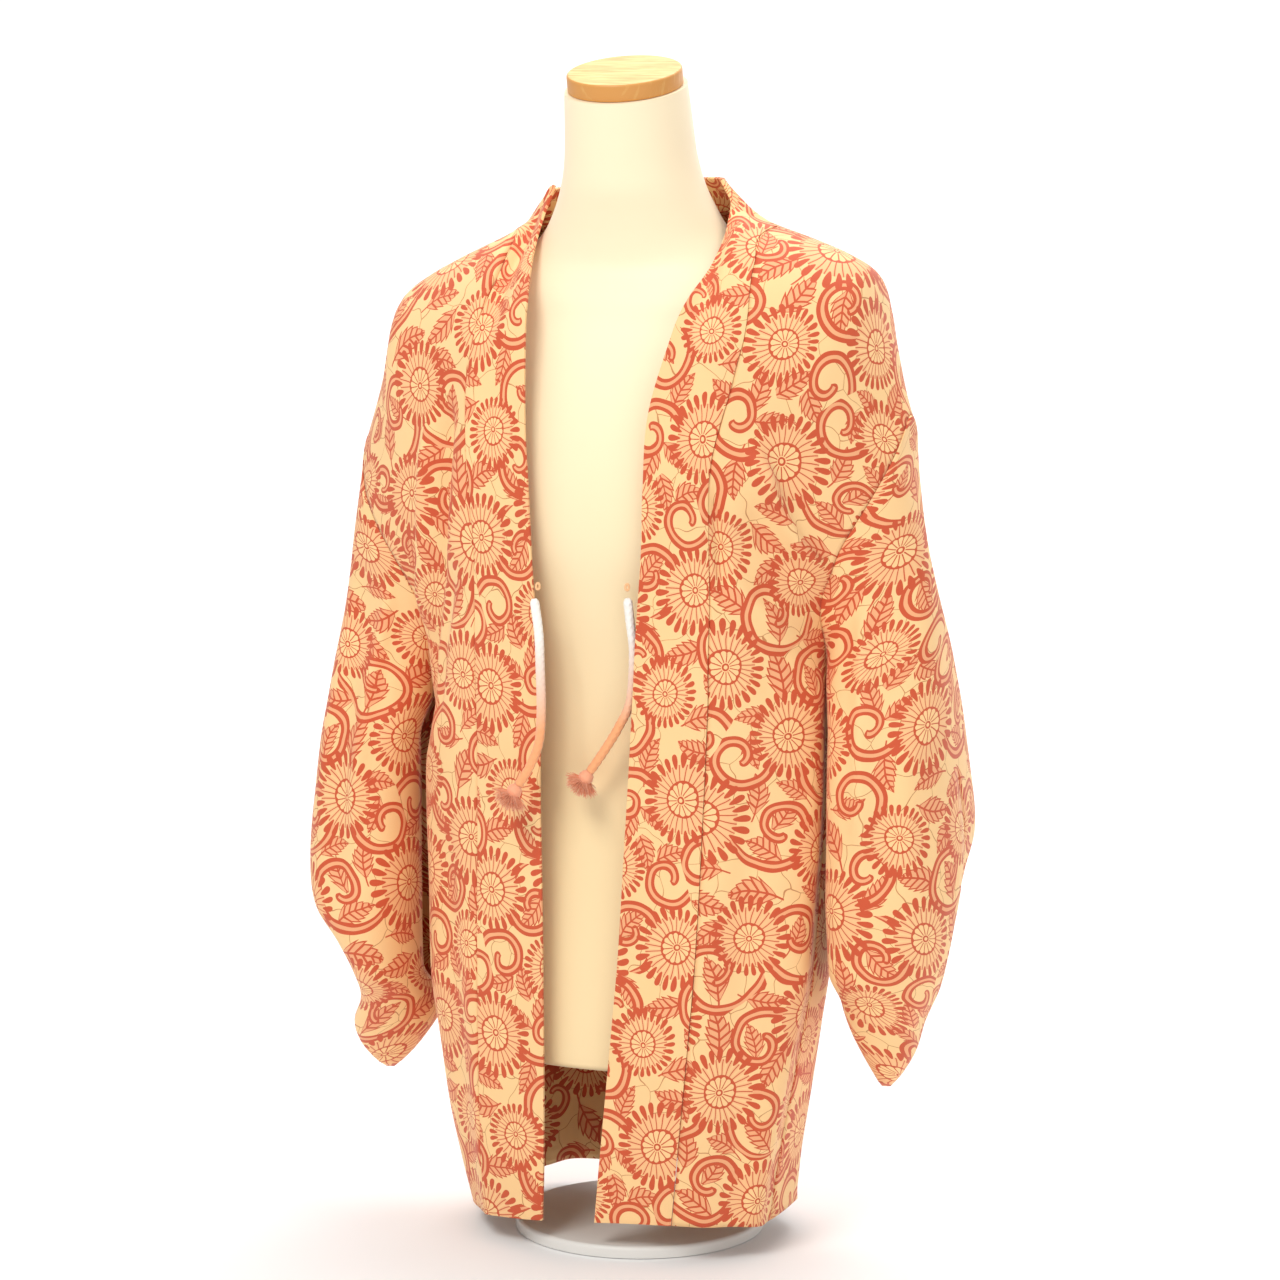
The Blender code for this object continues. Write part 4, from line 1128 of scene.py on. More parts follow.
def collar_line(side, t):
    """The collar across its width in row t of one front, inner edge first."""
    inner, outer = collar_edges(side, t)
    shares = [j / COLLAR_COLUMNS for j in range(COLLAR_COLUMNS + 1)]
    return [body_point(side, "front", mix(inner, outer, share), t) for share in shares]


def neck_line(turn):
    """The collar across its width behind the neck, turn -1 at the right shoulder."""
    side = "right" if turn < 0 else "left"
    c = NECK_COLUMN * abs(turn)
    seam = body_point(side, "back", c, neckline_row(c))
    angle = (1.0 - abs(turn)) * math.pi / 2
    top = Vector(
        (
            SIGN[side] * COLLAR_TOP_X * math.cos(angle) + SLIP,
            COLLAR_BACK_Y * math.sin(angle),
            mix(COLLAR_TOP_Z, COLLAR_BACK_Z, math.sin(angle)),
        )
    )
    seam = seam + (top - seam).normalized() * NECK_GAP
    return [top.lerp(seam, j / COLLAR_COLUMNS) for j in range(COLLAR_COLUMNS + 1)]


def make_collar(wall, material):
    """The collar as one long strip: right front, back of the neck, left front."""
    rows = fine_rows()
    grid = [collar_line("right", t) for t in reversed(rows)]
    for i in range(1, NECK_STATIONS):
        grid.append(neck_line(mix(-1.0, 1.0, i / NECK_STATIONS)))
    grid += [collar_line("left", t) for t in rows]
    places = cut_map(grid, 1.0, CUT_SHIFT["collar"])
    collar = cloth(
        "collar", [(grid, places)], wall, material, evened=True
    )
    bevel = collar.modifiers.new("soft_edges", "BEVEL")
    bevel.width = wall * COLLAR_SOFT
    bevel.segments = COLLAR_EDGE_STEPS
    bevel.limit_method = "ANGLE"
    bevel.angle_limit = SHARP_EDGE
    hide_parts("collar_right", "collar_left", "collar_back")
    return collar


# ------------------------------------------------------------------ cords and strands
def curve_through(points, count):
    """Evenly shared points on a smooth curve through the route's own points."""
    points = [Vector(p) for p in points]
    padded = [points[0] * 2 - points[1], *points, points[-1] * 2 - points[-2]]
    fine = []
    for p0, p1, p2, p3 in zip(padded, padded[1:], padded[2:], padded[3:]):
        for k in range(CURVE_STEPS):
            share = k / CURVE_STEPS
            line = 2 * p1 + (p2 - p0) * share
            square = (2 * p0 - 5 * p1 + 4 * p2 - p3) * share**2
            cube = (3 * p1 - p0 - 3 * p2 + p3) * share**3
            fine.append(0.5 * (line + square + cube))
    fine.append(points[-1])
    lengths = travelled(fine)
    found = []
    for k in range(count):
        want = lengths[-1] * k / (count - 1)
        i = max(j for j in range(len(fine) - 1) if lengths[j] <= want + 1e-12)
        share = (want - lengths[i]) / (lengths[i + 1] - lengths[i])
        found.append(fine[i].lerp(fine[i + 1], share))
    return found


def carried_frames(points):
    """Across and beside vectors at each point, carried on without twist."""
    found = []
    across = None
    for k in range(len(points)):
        start = points[max(k - 1, 0)]
        end = points[min(k + 1, len(points) - 1)]
        along = (end - start).normalized()
        if across is None:
            across = along.cross(Vector((0, 1, 0))).normalized()
        across = (across - along * across.dot(along)).normalized()
        found.append((across, along.cross(across)))
    return found


def plaited(angle, wind):
    """How far the plait stands proud, 0 to 1, at an angle round the cord."""
    first = math.cos(BRAID_STRANDS * angle + wind)
    second = math.cos(BRAID_STRANDS * angle - wind)
    return max(first, second, 0.0) ** 2


def make_cord(side, material):
    """A plaited cord whose strands stand proud, with its top end closed round."""
    points = curve_through(CORD_ROUTES[side], CORD_RINGS)
    lengths = travelled(points)
    rings = []
    for point, run, (across, beside) in zip(points, lengths, carried_frames(points)):
        taper = min(1.0, CORD_END + run / CORD_END_RUN)
        ring = []
        for m, (cos, sin) in enumerate(oval(CORD_SIDES)):
            proud = plaited(TURN * m / CORD_SIDES, TURN * run / BRAID_PITCH)
            reach = CORD_DIAMETER / 2 * taper * (1.0 - BRAID_PROUD + BRAID_PROUD * proud)
            ring.append(point + (across * cos + beside * sin * BRAID_FLAT) * reach)
        rings.append(ring)
    bm = bmesh.new()
    layer = bm.loops.layers.uv.new("braid")
    for number, face in enumerate(closed_rings(bm, rings)):
        k, m = divmod(number, CORD_SIDES)
        low, high = lengths[k] / lengths[-1], lengths[k + 1] / lengths[-1]
        near, far = m / CORD_SIDES, (m + 1) / CORD_SIDES
        corners = ((near, low), (far, low), (far, high), (near, high))
        for loop, corner in zip(face.loops, corners):
            loop[layer].uv = corner
    name = "tie_cord_" + side
    cord = add_piece(name, meshed(name, bm), material)
    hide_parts("cord_" + side)
    return cord


def make_tassel(side, strands, material):
    """A knot wound with thread, and strands that spread from it."""
    points = curve_through(CORD_ROUTES[side], PATH_POINTS)
    along = (points[-1] - points[-3]).normalized()
    across = along.cross(Vector((0, 1, 0))).normalized()
    beside = along.cross(across)
    centre = points[-1] + along * (TASSEL_HEAD + SEAM)
    bm = bmesh.new()
    layer = bm.loops.layers.uv.new("strand")
    around, down = KNOT_GRID
    radius = TASSEL_HEAD * KNOT_GROWTH
    bmesh.ops.create_uvsphere(bm, u_segments=around, v_segments=down, radius=radius)
    for vertex in bm.verts:
        x, y, z = vertex.co
        wound = 1.0 + KNOT_RIDGE * math.cos(z * KNOT_WINDING)
        vertex.co = centre + along * z + (across * x + beside * y) * wound
    for face in bm.faces:
        for loop in face.loops:
            loop[layer].uv = (0.5, 0.0)
    golden = math.pi * (3 - math.sqrt(5))
    for k in range(strands):
        spread = STRAND_SPREAD * STRAND_FAN * math.sqrt((k + 0.5) / strands)
        turn = golden * k
        uneven = math.sin(LENGTH_BEATS[0] * k) * math.cos(LENGTH_BEATS[1] * k)
        length = STRAND_LENGTH * (STRAND_EVEN + (1.0 - STRAND_EVEN) * uneven)
        direction = along * math.cos(spread)
        direction += across * (math.sin(spread) * math.cos(turn))
        direction += beside * (math.sin(spread) * math.sin(turn))
        side_a = direction.orthogonal().normalized()
        side_b = direction.cross(side_a)
        bend = CURL_BEAT * k
        curl = (side_a * math.cos(bend) + side_b * math.sin(bend)) * STRAND_CURL
        root, tip = TASSEL_HEAD * STRAND_ROOT, TASSEL_HEAD + length
        rings = []
        for b in range(STRAND_BENDS + 1):
            part = b / STRAND_BENDS
            place = centre + direction * mix(root, tip, part) + curl * part * part
            place.z -= STRAND_DROOP * (1.0 - math.cos(spread)) * part * part
            size = STRAND_THICK * (1.0 - STRAND_TAPER * part)
            ring = []
            for cos, sin in oval(STRAND_SIDES):
                ring.append(bm.verts.new(place + (side_a * cos + side_b * sin) * size))
            rings.append(ring)
        tone = (0.5 + 0.5 * math.sin(TONE_BEAT * k)) * TONE_TOP
        for face in [bm.faces.new(rings[-1]), *bridged(bm, rings)]:
            for loop in face.loops:
                loop[layer].uv = (tone, (loop.vert.co - centre).length / STRAND_UNIT)
    name = "tie_tassel_" + side
    tassel = add_piece(name, meshed(name, bm), material)
    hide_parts("tassel_" + side)
    return tassel


def make_loop(side, material):
    """The small sewn loop that holds the cord."""
    centre = Vector(LOOP_CENTRES[side])
    curve = bpy.data.curves.new("breast_loop_" + side, "CURVE")
    curve.dimensions = "3D"
    curve.bevel_depth = LOOP_THICK
    curve.bevel_resolution = 4
    spline = curve.splines.new("POLY")
    spline.points.add(LOOP_POINTS - 1)
    for control, (cos, sin) in zip(spline.points, oval(LOOP_POINTS)):
        turn = Vector((LOOP_OVAL[0] * cos, LOOP_OVAL[1] * cos, sin))
        control.co = (*(centre + turn * LOOP_RADIUS * LOOP_PULLED), 1.0)
    spline.use_cyclic_u = True
    loop = add_piece("breast_loop_" + side, curve, material)
    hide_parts("loop_" + side)
    return loop


# --------------------------------------------------------------------- form and stand
def form_section(z, shrink=0.0):
    """The form's level section at height z."""
    half, front, back, centre, exponent = (read_table(FORM, z, k) for k in range(1, 6))
    ring = []
    for cos, sin in oval(FORM_SIDES):
        x = (half - shrink) * power(cos, 2 / exponent)
        y = power(sin, 2 / exponent)
        y *= (back if y > 0 else front) - shrink
        ring.append(Vector((x, centre + y, z)))
    return ring


def make_form(material):
    """The torso: a smooth closed body with a rounded lower edge and a cover seam."""
    rings = []
    for k in range(FORM_ROUND + 1):
        angle = math.pi / 2 * k / FORM_ROUND
        ring = form_section(FORM_BOTTOM, FORM_EDGE * (1.0 - math.sin(angle)))
        for point in ring:
            point.z = FORM_BOTTOM + FORM_EDGE * (1.0 - math.cos(angle))
        rings.append(ring)
    neck, top = FORM[-2][0], FORM[-1][0]
    for k in range(1, FORM_ROWS):
        z = mix(FORM_BOTTOM + FORM_EDGE, neck, k / FORM_ROWS)
        dip = math.exp(-(((z - COVER_SEAM) / COVER_SEAM_WIDTH) ** 2))
        rings.append(form_section(z, COVER_SEAM_DEPTH * dip))
    lift = CAP_CENTRE[2] - SEAM * CAP_GAP - top
    for k in range(FORM_ROUND + 1):
        share = k / FORM_ROUND
        ring = form_section(mix(neck, top, share))
        for point in ring:
            point.z += share * (math.tan(CAP_TILT) * (point.y - CAP_CENTRE[1]) + lift)
        rings.append(ring)
    bm = bmesh.new()
    closed_rings(bm, rings)
    mesh = meshed("form_cover", bm)
    mesh.set_sharp_from_angle(angle=SHARP_EDGE)
    form = add_piece("form_cover", mesh, material)
    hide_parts("form_torso")
    return form


def turned(name, profile, material, centre=(0.0, 0.0, 0.0), tilt=0.0):
    """A turned piece from a profile of radius and height, top to bottom."""
    tip_cos, tip_sin = math.cos(tilt), math.sin(tilt)
    rings = []
    for radius, z in reversed(profile):
        ring = []
        for cos, sin in oval(TURNED_SIDES):
            x, y = radius * cos, radius * sin
            tipped = Vector((x, y * tip_cos - z * tip_sin, y * tip_sin + z * tip_cos))
            ring.append(tipped + Vector(centre))
        rings.append(ring)
    bm = bmesh.new()
    closed_rings(bm, rings)
    mesh = meshed(name, bm)
    mesh.set_sharp_from_angle(angle=TURNED_SHARP)
    return add_piece(name, mesh, material)


def rounded_disc(radius, height, top_round, foot_round):
    """The profile of a disc with rounded rims, from the top's middle outwards."""
    profile = [(radius * HUB, height)]
    for k in range(TOP_STEPS + 1):
        angle = math.pi / 2 * k / TOP_STEPS
        inward, down = 1.0 - math.sin(angle), 1.0 - math.cos(angle)
        profile.append((radius - top_round * inward, height - top_round * down))
    for k in range(FOOT_STEPS + 1):
        angle = math.pi / 2 * k / FOOT_STEPS
        inward, up = 1.0 - math.cos(angle), 1.0 - math.sin(angle)
        profile.append((radius - foot_round * inward, foot_round * up))
    profile.append((radius * HUB, 0.0))
    return profile


# ------------------------------------------------------------------------ shader nodes
class Wire:
    """A value in a node tree. Its arithmetic adds Math nodes."""

    def __init__(self, socket):
        self.socket = socket
        self.tree = socket.id_data

    def worked(self, kind, operation, others):
        node = new_node(self.tree, kind, operation=operation)
        for slot, value in zip(node.inputs, (self, *others)):
            feed(self.tree, value, slot)
        return node.outputs

    def math(self, operation, *others):
        return Wire(self.worked("ShaderNodeMath", operation, others)[0])

    def vector(self, operation, *others):
        outputs = self.worked("ShaderNodeVectorMath", operation, others)
        return Wire(outputs["Value" if operation == "LENGTH" else "Vector"])

    def parts(self):
        node = self.tree.nodes.new("ShaderNodeSeparateXYZ")
        self.tree.links.new(self.socket, node.inputs[0])
        return [Wire(output) for output in node.outputs]

    def __add__(self, other):
        return self.math("ADD", other)

    def __sub__(self, other):
        return self.math("SUBTRACT", other)

    def __mul__(self, other):
        return self.math("MULTIPLY", other)

    def __truediv__(self, other):
        return self.math("DIVIDE", other)

    def __lt__(self, other):
        return self.math("LESS_THAN", other)

    def __gt__(self, other):
        return self.math("GREATER_THAN", other)

    def __abs__(self):
        return self.math("ABSOLUTE")

    def less_from(self, number):
        """number minus the value."""
        return self.math("MULTIPLY_ADD", -1.0, number)

    def flat_length(self):
        """The length without the third coordinate."""
        return self.vector("MULTIPLY", (1, 1, 0)).vector("LENGTH")

    def held(self):
        """The value kept between 0 and 1."""
        return self.math("MAXIMUM", 0.0).math("MINIMUM", 1.0)


def feed(tree, value, slot):
    if isinstance(value, Wire):
        tree.links.new(value.socket, slot)
    else:
        slot.default_value = value


def new_node(tree, kind, **settings):
    node = tree.nodes.new(kind)
    for name, value in settings.items():
        setattr(node, name, value)
    return node


def blend(factor, first, second, kind="VECTOR"):
    """Mixes first towards second."""
    node = new_node(factor.tree, "ShaderNodeMix", data_type=kind)
    slots = [s for s in node.inputs if s.enabled]
    for slot, value in zip(slots, (factor, first, second)):
        feed(factor.tree, value, slot)
    return Wire(next(s for s in node.outputs if s.enabled))


def dyed(factor, first, second):
    """Colours from first to second. Each is a setting or a wire."""
    ends = [end if isinstance(end, Wire) else (*end, 1.0) for end in (first, second)]
    return blend(factor, *ends, "RGBA")


def new_group(name, inputs, outputs):
    """A node group with named sockets, its source and its sink."""
    tree = bpy.data.node_groups.new(name, "ShaderNodeTree")
    for way, sockets in (("INPUT", inputs), ("OUTPUT", outputs)):
        for socket, kind in sockets.items():
            kind = "NodeSocket" + kind
            tree.interface.new_socket(socket, in_out=way, socket_type=kind)
    return tree, new_node(tree, "NodeGroupInput"), new_node(tree, "NodeGroupOutput")


def placed(tree, name, maker, at):
    """The named group in a material, at a place. maker builds it the first time."""
    node = tree.nodes.new("ShaderNodeGroup")
    node.node_tree = bpy.data.node_groups.get(name) or maker()
    tree.links.new(at, node.inputs[0])
    return node


# -------------------------------------------------------------------------- the print
def nearest_motif(cut, places):
    """Place and code of the motif of the chart that is nearest to the point."""
    half = (TILE[0] / 2, TILE[1] / 2, 1.0)
    best = None
    for x, y, code in places:
        local = cut.vector("SUBTRACT", (x, y, -code * CODE))
        local = local.vector("WRAP", half, (-half[0], -half[1], -1.0))
        reach = local.vector("LENGTH")
        if best is None:
            best, best_reach = local, reach
            continue
        best = blend(reach < best_reach, best, local)
        best_reach = best_reach.math("MINIMUM", reach)
    _, _, code = best.parts()
    return best, code * (1.0 / CODE)


def whole_turns(code, divisor=TURN):
    """The whole turns in a motif's code."""
    return (code * (1.0 / divisor)).math("FLOOR")


def motif(cut, chart, size, kinds=1):
    """The nearest motif of the chart: its place, code, own x and y, and size.

    A motif's code holds its turn, and its kind and size step as whole turns.
    """
    places = []
    for x, y, turn, *kind, step in chart:
        places.append((x, y, math.radians(turn) + TURN * (sum(kind) + kinds * step)))
    local, code = nearest_motif(cut, places)
    node = new_node(local.tree, "ShaderNodeVectorRotate", rotation_type="Z_AXIS")
    node.inputs["Center"].default_value = (0, 0, 0)
    feed(local.tree, local, node.inputs["Vector"])
    feed(local.tree, code * -1.0, node.inputs["Angle"])
    x, y, _ = Wire(node.outputs["Vector"]).parts()
    step = whole_turns(code, kinds * TURN)
    return local, code, x, y, step.math("MULTIPLY_ADD", size[1], size[0])


def flowers(cut):
    """Rust, pink and cover of the chrysanthemums."""
    local, code, x, y, size = motif(cut, FLOWERS, FLOWER_SIZE)
    angle = y.math("ARCTAN2", x)
    # One side of the flower has longer petals.
    reach = local.flat_length() / size / angle.math("COSINE").math("MULTIPLY_ADD", LOPSIDED, 1.0)
    petal = (angle * (PETALS / TURN)).math("PINGPONG", 0.5) * 2.0
    tip = reach.math("MULTIPLY_ADD", 1.0 / TIP_HALF, -TIP_MIDDLE / TIP_HALF)
    # The tips are narrow drops, widest near their outer end.
    slim = tip.math("MULTIPLY_ADD", *TIP_SLIM)
    tips = (petal * petal * slim * slim + tip * tip) < 1.0
    between = (petal.less_from(1.0) * reach) < RAY_GAP
    rays = between * (reach > RING) * (reach < BODY_END + RAY_PAST)
    seed = (angle * (SEEDS / TURN)).math("PINGPONG", 0.5) * 2.0
    seed_rays = ((seed.less_from(1.0) * reach) < SEED_GAP) * (reach > SEED_START)
    scallop = (seed * seed).math("MULTIPLY_ADD", -SCALLOP, RING - SCALLOP_START)
    ring = (reach > scallop) * (reach < RING + RING_WIDTH)
    heart = abs(reach - HEART[0]) < HEART[1]
    inner = (seed_rays * (reach < RING)).math("MAXIMUM", ring).math("MAXIMUM", heart)
    rust = tips.math("MAXIMUM", rays).math("MAXIMUM", inner)
    body = (reach < BODY_END).math("MAXIMUM", tips)
    # Some flowers are filled, the others keep the ground's colour between their rays.
    filled = (whole_turns(code) * 0.5).math("FRACT") * FILL
    pink = (reach > RING) * petal.math("MULTIPLY_ADD", *TINT).math("MAXIMUM", filled)
    return rust, pink, body


def leaves(cut):
    """Rust, light fill and cover of the hatched leaves."""
    _, _, x, y, size = motif(cut, LEAVES, LEAF_SIZE)
    x = x / size
    y = y / size
    # The midrib bends a little.
    y = y + x * x * RIB_BEND - RIB_DROP
    along = x + 0.5
    side = abs(y)
    tooth = ((along - side * TOOTH_SLANT) * TEETH).math("FRACT")
    width = (along.math("POWER", LEAF_BLUNT) * math.pi).math("SINE") * LEAF_WIDE
    width = width * tooth.math("MULTIPLY_ADD", *TOOTH_DEPTH)
    inside = (side < width) * (along > 0.0) * (along < 1.0)
    core = side < width * EDGE_INSET[0] - EDGE_INSET[1]
    core = core * (along > CORE[0]) * (along < CORE[1])
    hatch = (abs(tooth - 0.5) > HATCH).math("MAXIMUM", side < RIB_WIDTH)
    light = core * hatch.less_from(1.0)
    stem = (side < RIB_WIDTH) * (along > STEM[0]) * (along < STEM[1])
    return (inside - light).math("MAXIMUM", stem), light, inside


def scrolls(cut):
    """Rust and cover of the scrolls, which wind inwards as bands with a light line."""
    local, code, x, y, size = motif(cut, SCROLLS, SCROLL_SIZE, kinds=2)
    mirrored = (whole_turns(code) * 0.5).math("FRACT") * 2.0
    y = y * mirrored.math("MULTIPLY_ADD", -2.0, 1.0)
    reach = local.flat_length()
    turn = y.math("ARCTAN2", x).math("MULTIPLY_ADD", 1.0 / TURN, 0.5)
    depth = (reach / size).math("LOGARITHM", math.e) * (-1.0 / (TURN * WIND))
    wound = turn + (depth - turn).math("ROUND")
    off = (depth - wound) * reach * (TURN * WIND)
    room = wound.math("MULTIPLY_ADD", -BAND_THIN, 1.0) * BAND
    lead = ((wound - SCROLL_START) * SCROLL_LEAD).held()
    share = off / (room * lead.math("POWER", SCROLL_LEAD_BLUNT))
    past = ((wound - SCROLL_END) / SCROLL_ROUND + 1.0).math("MAXIMUM", 0.0)
    band = ((share * share + past * past) < 1.0) * (wound > SCROLL_START)
    light = (share > SCROLL_LIGHT[0]) * (share < SCROLL_LIGHT[1])
    light = light * (wound < SCROLL_END - SCROLL_LIGHT_STOP)
    return band - band * light, band


def print_group():
    """Rust, pink and hairline masks of the print at a place on the cut."""
    masks = {"Rust": "Float", "Pink": "Float", "Hairline": "Float"}
    tree, source, sink = new_group("flower_and_scroll_print", {"Cut": "Vector"}, masks)
    cut = Wire(source.outputs["Cut"])
    hand = new_node(tree, "ShaderNodeTexNoise")
    feed(tree, cut, hand.inputs["Vector"])
    hand.inputs["Scale"].default_value = WOBBLE_SCALE
    hand.inputs["Detail"].default_value = 0.0
    shift = Wire(hand.outputs["Color"]).vector("SUBTRACT", (0.5, 0.5, 0.5))
    shift = shift.vector("MULTIPLY", (WOBBLE, WOBBLE, 0.0))
    cut = cut.vector("ADD", shift)
    flower_rust, flower_pink, flower_cover = flowers(cut)
    rust, pink, leaf_cover = leaves(cut)
    scroll_rust, scroll_cover = scrolls(cut)
    web = new_node(tree, "ShaderNodeTexVoronoi", feature="DISTANCE_TO_EDGE")
    web.voronoi_dimensions = "2D"
    bent = shift.vector("MULTIPLY", (WEB_BEND, WEB_BEND, 0.0)).vector("ADD", cut)
    feed(tree, bent, web.inputs["Vector"])
    web.inputs["Scale"].default_value = WEB_SCALE
    hair = Wire(web.outputs["Distance"]) < HAIRLINE
    # Flowers lie over scrolls, scrolls over leaves, and all over the hairlines.
    no_scroll = scroll_cover.less_from(1.0)
    no_flower = flower_cover.less_from(1.0)
    rust = rust * no_scroll + scroll_rust
    rust = rust * no_flower + flower_rust * flower_cover
    pink = pink.math("MAXIMUM", scroll_cover) * no_flower + flower_pink * flower_cover
    free = leaf_cover.less_from(1.0) * no_scroll * no_flower
    feed(tree, rust, sink.inputs["Rust"])
    feed(tree, pink, sink.inputs["Pink"])
    feed(tree, hair * free, sink.inputs["Hairline"])
    return tree


# ------------------------------------------------------------------------- materials
def new_material(name, roughness, **constants):
    material = bpy.data.materials.new(name)
    material.use_nodes = True
    tree = material.node_tree
    shader = tree.nodes["Principled BSDF"]
    shader.inputs["Roughness"].default_value = roughness
    for key, value in constants.items():
        shader.inputs[key.replace("_", " ")].default_value = value
    return material, tree, shader


def noise_at(tree, place, scale, detail):
    node = new_node(tree, "ShaderNodeTexNoise")
    tree.links.new(place, node.inputs["Vector"])
    feed(tree, scale, node.inputs["Scale"])
    node.inputs["Detail"].default_value = detail
    return Wire(node.outputs["Fac"])


def grain_group():
    """Fine uneven grain: Height and Shade, both about 0.5, at a place and a scale."""
    inputs = {"Place": "Vector", "Scale": "Float"}
    outputs = {"Height": "Float", "Shade": "Float"}
    tree, source, sink = new_group("fine_grain", inputs, outputs)
    place = source.outputs["Place"]
    fine = noise_at(tree, place, Wire(source.outputs["Scale"]), FINE_DETAIL)
    feed(tree, fine, sink.inputs["Height"])
    feed(tree, noise_at(tree, place, SHADE_SCALE, SHADE_DETAIL), sink.inputs["Shade"])
    return tree


def bumped(height, strength, distance, shader):
    bump = new_node(height.tree, "ShaderNodeBump")
    bump.inputs["Strength"].default_value = strength
    bump.inputs["Distance"].default_value = distance
    feed(height.tree, height, bump.inputs["Height"])
    height.tree.links.new(bump.outputs["Normal"], shader.inputs["Normal"])


def grained(tree, shader, finish, at):
    """Gives a finish its grain as a bump at a place. Returns its height and shade."""
    scale, strength, depth = GRAINS[finish]
    grain = placed(tree, "fine_grain", grain_group, at)
    grain.inputs["Scale"].default_value = scale
    height = Wire(grain.outputs["Height"])
    bumped(height, strength, depth, shader)
    return height, Wire(grain.outputs["Shade"])


def roughened(finish, mask, shader):
    """The finish's roughness over a mask."""
    rough = mask.math("MULTIPLY_ADD", *ROUGHNESS[finish])
    feed(mask.tree, rough, shader.inputs["Roughness"])


def silk_material(settings):
    """Crepe silk with the flower and scroll print."""
    found = bpy.data.materials.get("printed_silk")
    if found:
        return found
    material, tree, shader = new_material(
        "printed_silk",
        0.68,
        Sheen_Weight=0.18,
        Sheen_Roughness=0.5,
        Sheen_Tint=SILK_SHEEN,
        Specular_IOR_Level=0.32,
    )
    cut = new_node(tree, "ShaderNodeUVMap", uv_map="cut").outputs["UV"]
    printed = placed(tree, "flower_and_scroll_print", print_group, cut)
    _, shade = grained(tree, shader, "silk", cut)
    rust, pink, hair = (Wire(printed.outputs[k]) for k in ("Rust", "Pink", "Hairline"))
    colour = dyed(hair * HAIRLINE_TONE, settings.ground, settings.hairline)
    colour = dyed(rust, dyed(pink, colour, settings.petal), settings.rust)
    toned = new_node(tree, "ShaderNodeVectorMath", operation="SCALE")
    feed(tree, colour, toned.inputs[0])
    feed(tree, shade.math("MULTIPLY_ADD", *SILK_SHADE), toned.inputs["Scale"])
    tree.links.new(toned.outputs["Vector"], shader.inputs["Base Color"])
    roughened("silk", rust, shader)
    return material


def cover_material(settings):
    """The form's soft, fine satin cover, with painted shade and painted orange bounce light
    towards its lower edge.
    """
    material, tree, shader = new_material("form_satin", 0.5, Sheen_Weight=0.25)
    place = new_node(tree, "ShaderNodeTexCoord").outputs["Object"]
    grain, shade = grained(tree, shader, "satin", place)
    _, _, height = Wire(place).parts()
    # Painted shade: darker and more orange lower down, for the shade and the jacket's orange
    # bounce light there.
    low = (height.math("MULTIPLY_ADD", *PAINTED_SHADE_FADE) + shade * PAINTED_SHADE_CLOUD).held()
    colour = dyed(low, settings.cover, settings.cover_painted_shade)
    feed(tree, colour, shader.inputs["Base Color"])
    roughened("satin", grain, shader)
    return material


def wood_material(settings):
    """Pale lacquered wood with straight grain."""
    material, tree, shader = new_material("cap_wood", 0.4, Coat_Roughness=0.25)
    place = new_node(tree, "ShaderNodeTexCoord")
    stretch = new_node(tree, "ShaderNodeMapping")
    stretch.inputs["Scale"].default_value = WOOD_STRETCH
    tree.links.new(place.outputs["Object"], stretch.inputs["Vector"])
    line = noise_at(tree, stretch.outputs["Vector"], WOOD_RINGS, WOOD_DETAIL)
    # The wood is darker where its faces are steep, round the cap's rim.
    _, _, level = Wire(place.outputs["Normal"]).parts()
    dark = line.math("MULTIPLY_ADD", *WOOD_CONTRAST) + (level < STEEP_FACE_DARKENING[0]) * STEEP_FACE_DARKENING[1]
    colour = dyed(dark.held(), settings.wood, settings.wood_grain)
    feed(tree, colour, shader.inputs["Base Color"])
    roughened("wood", line, shader)
    bumped(line, *WOOD_BUMP, shader)
    return material


def coated_material(settings):
    """White powder coat on steel."""
    material, tree, shader = new_material("powder_coat", 0.42)
    place = new_node(tree, "ShaderNodeTexCoord").outputs["Object"]
    grain, shade = grained(tree, shader, "coat", place)
    colour = dyed(shade, settings.metal, settings.metal_shade)
    feed(tree, colour, shader.inputs["Base Color"])
    roughened("coat", grain, shader)
    return material


def braid_material(settings):
    """Plaited silk, dyed from white at the loop to coral at the tassel."""
    material, tree, shader = new_material("cord_braid", 0.6, Sheen_Weight=0.4)
    braid = new_node(tree, "ShaderNodeUVMap", uv_map="braid").outputs["UV"]
    _, along, _ = Wire(braid).parts()
    dye = (along * DYE_RAMP[0] - DYE_RAMP[1]).held()
    colour = dyed(dye, settings.cord_top, settings.cord_end)
    feed(tree, colour, shader.inputs["Base Color"])
    place = new_node(tree, "ShaderNodeTexCoord").outputs["Object"]
    grain, _ = grained(tree, shader, "braid", place)
    roughened("braid", grain, shader)
    return material


def tassel_material(settings):
    """Loose silk threads, each a little lighter or darker than the next."""
    material, tree, shader = new_material("tassel_thread", 0.65, Sheen_Weight=0.5)
    strand = new_node(tree, "ShaderNodeUVMap", uv_map="strand").outputs["UV"]
    tone, reach, _ = Wire(strand).parts()
    colour = dyed(tone, settings.tassel_dark, settings.tassel_light)
    feed(tree, colour, shader.inputs["Base Color"])
    roughened("thread", reach, shader)
    return material


def loop_material(settings):
    """Plain silk of the loops."""
    material, tree, shader = new_material("loop_silk", 0.6, Sheen_Weight=0.2)
    place = new_node(tree, "ShaderNodeTexCoord").outputs["Object"]
    grain, _ = grained(tree, shader, "loops", place)
    colour = dyed(grain, settings.petal, settings.ground)
    feed(tree, colour, shader.inputs["Base Color"])
    return material


# -------------------------------------------------------------------------- settings
def colour_setting(name, description, default):
    return FloatVectorProperty(
        name=name,
        description=description,
        subtype="COLOR",
        size=3,
        min=0.0,
        max=1.0,
        default=default,
    )


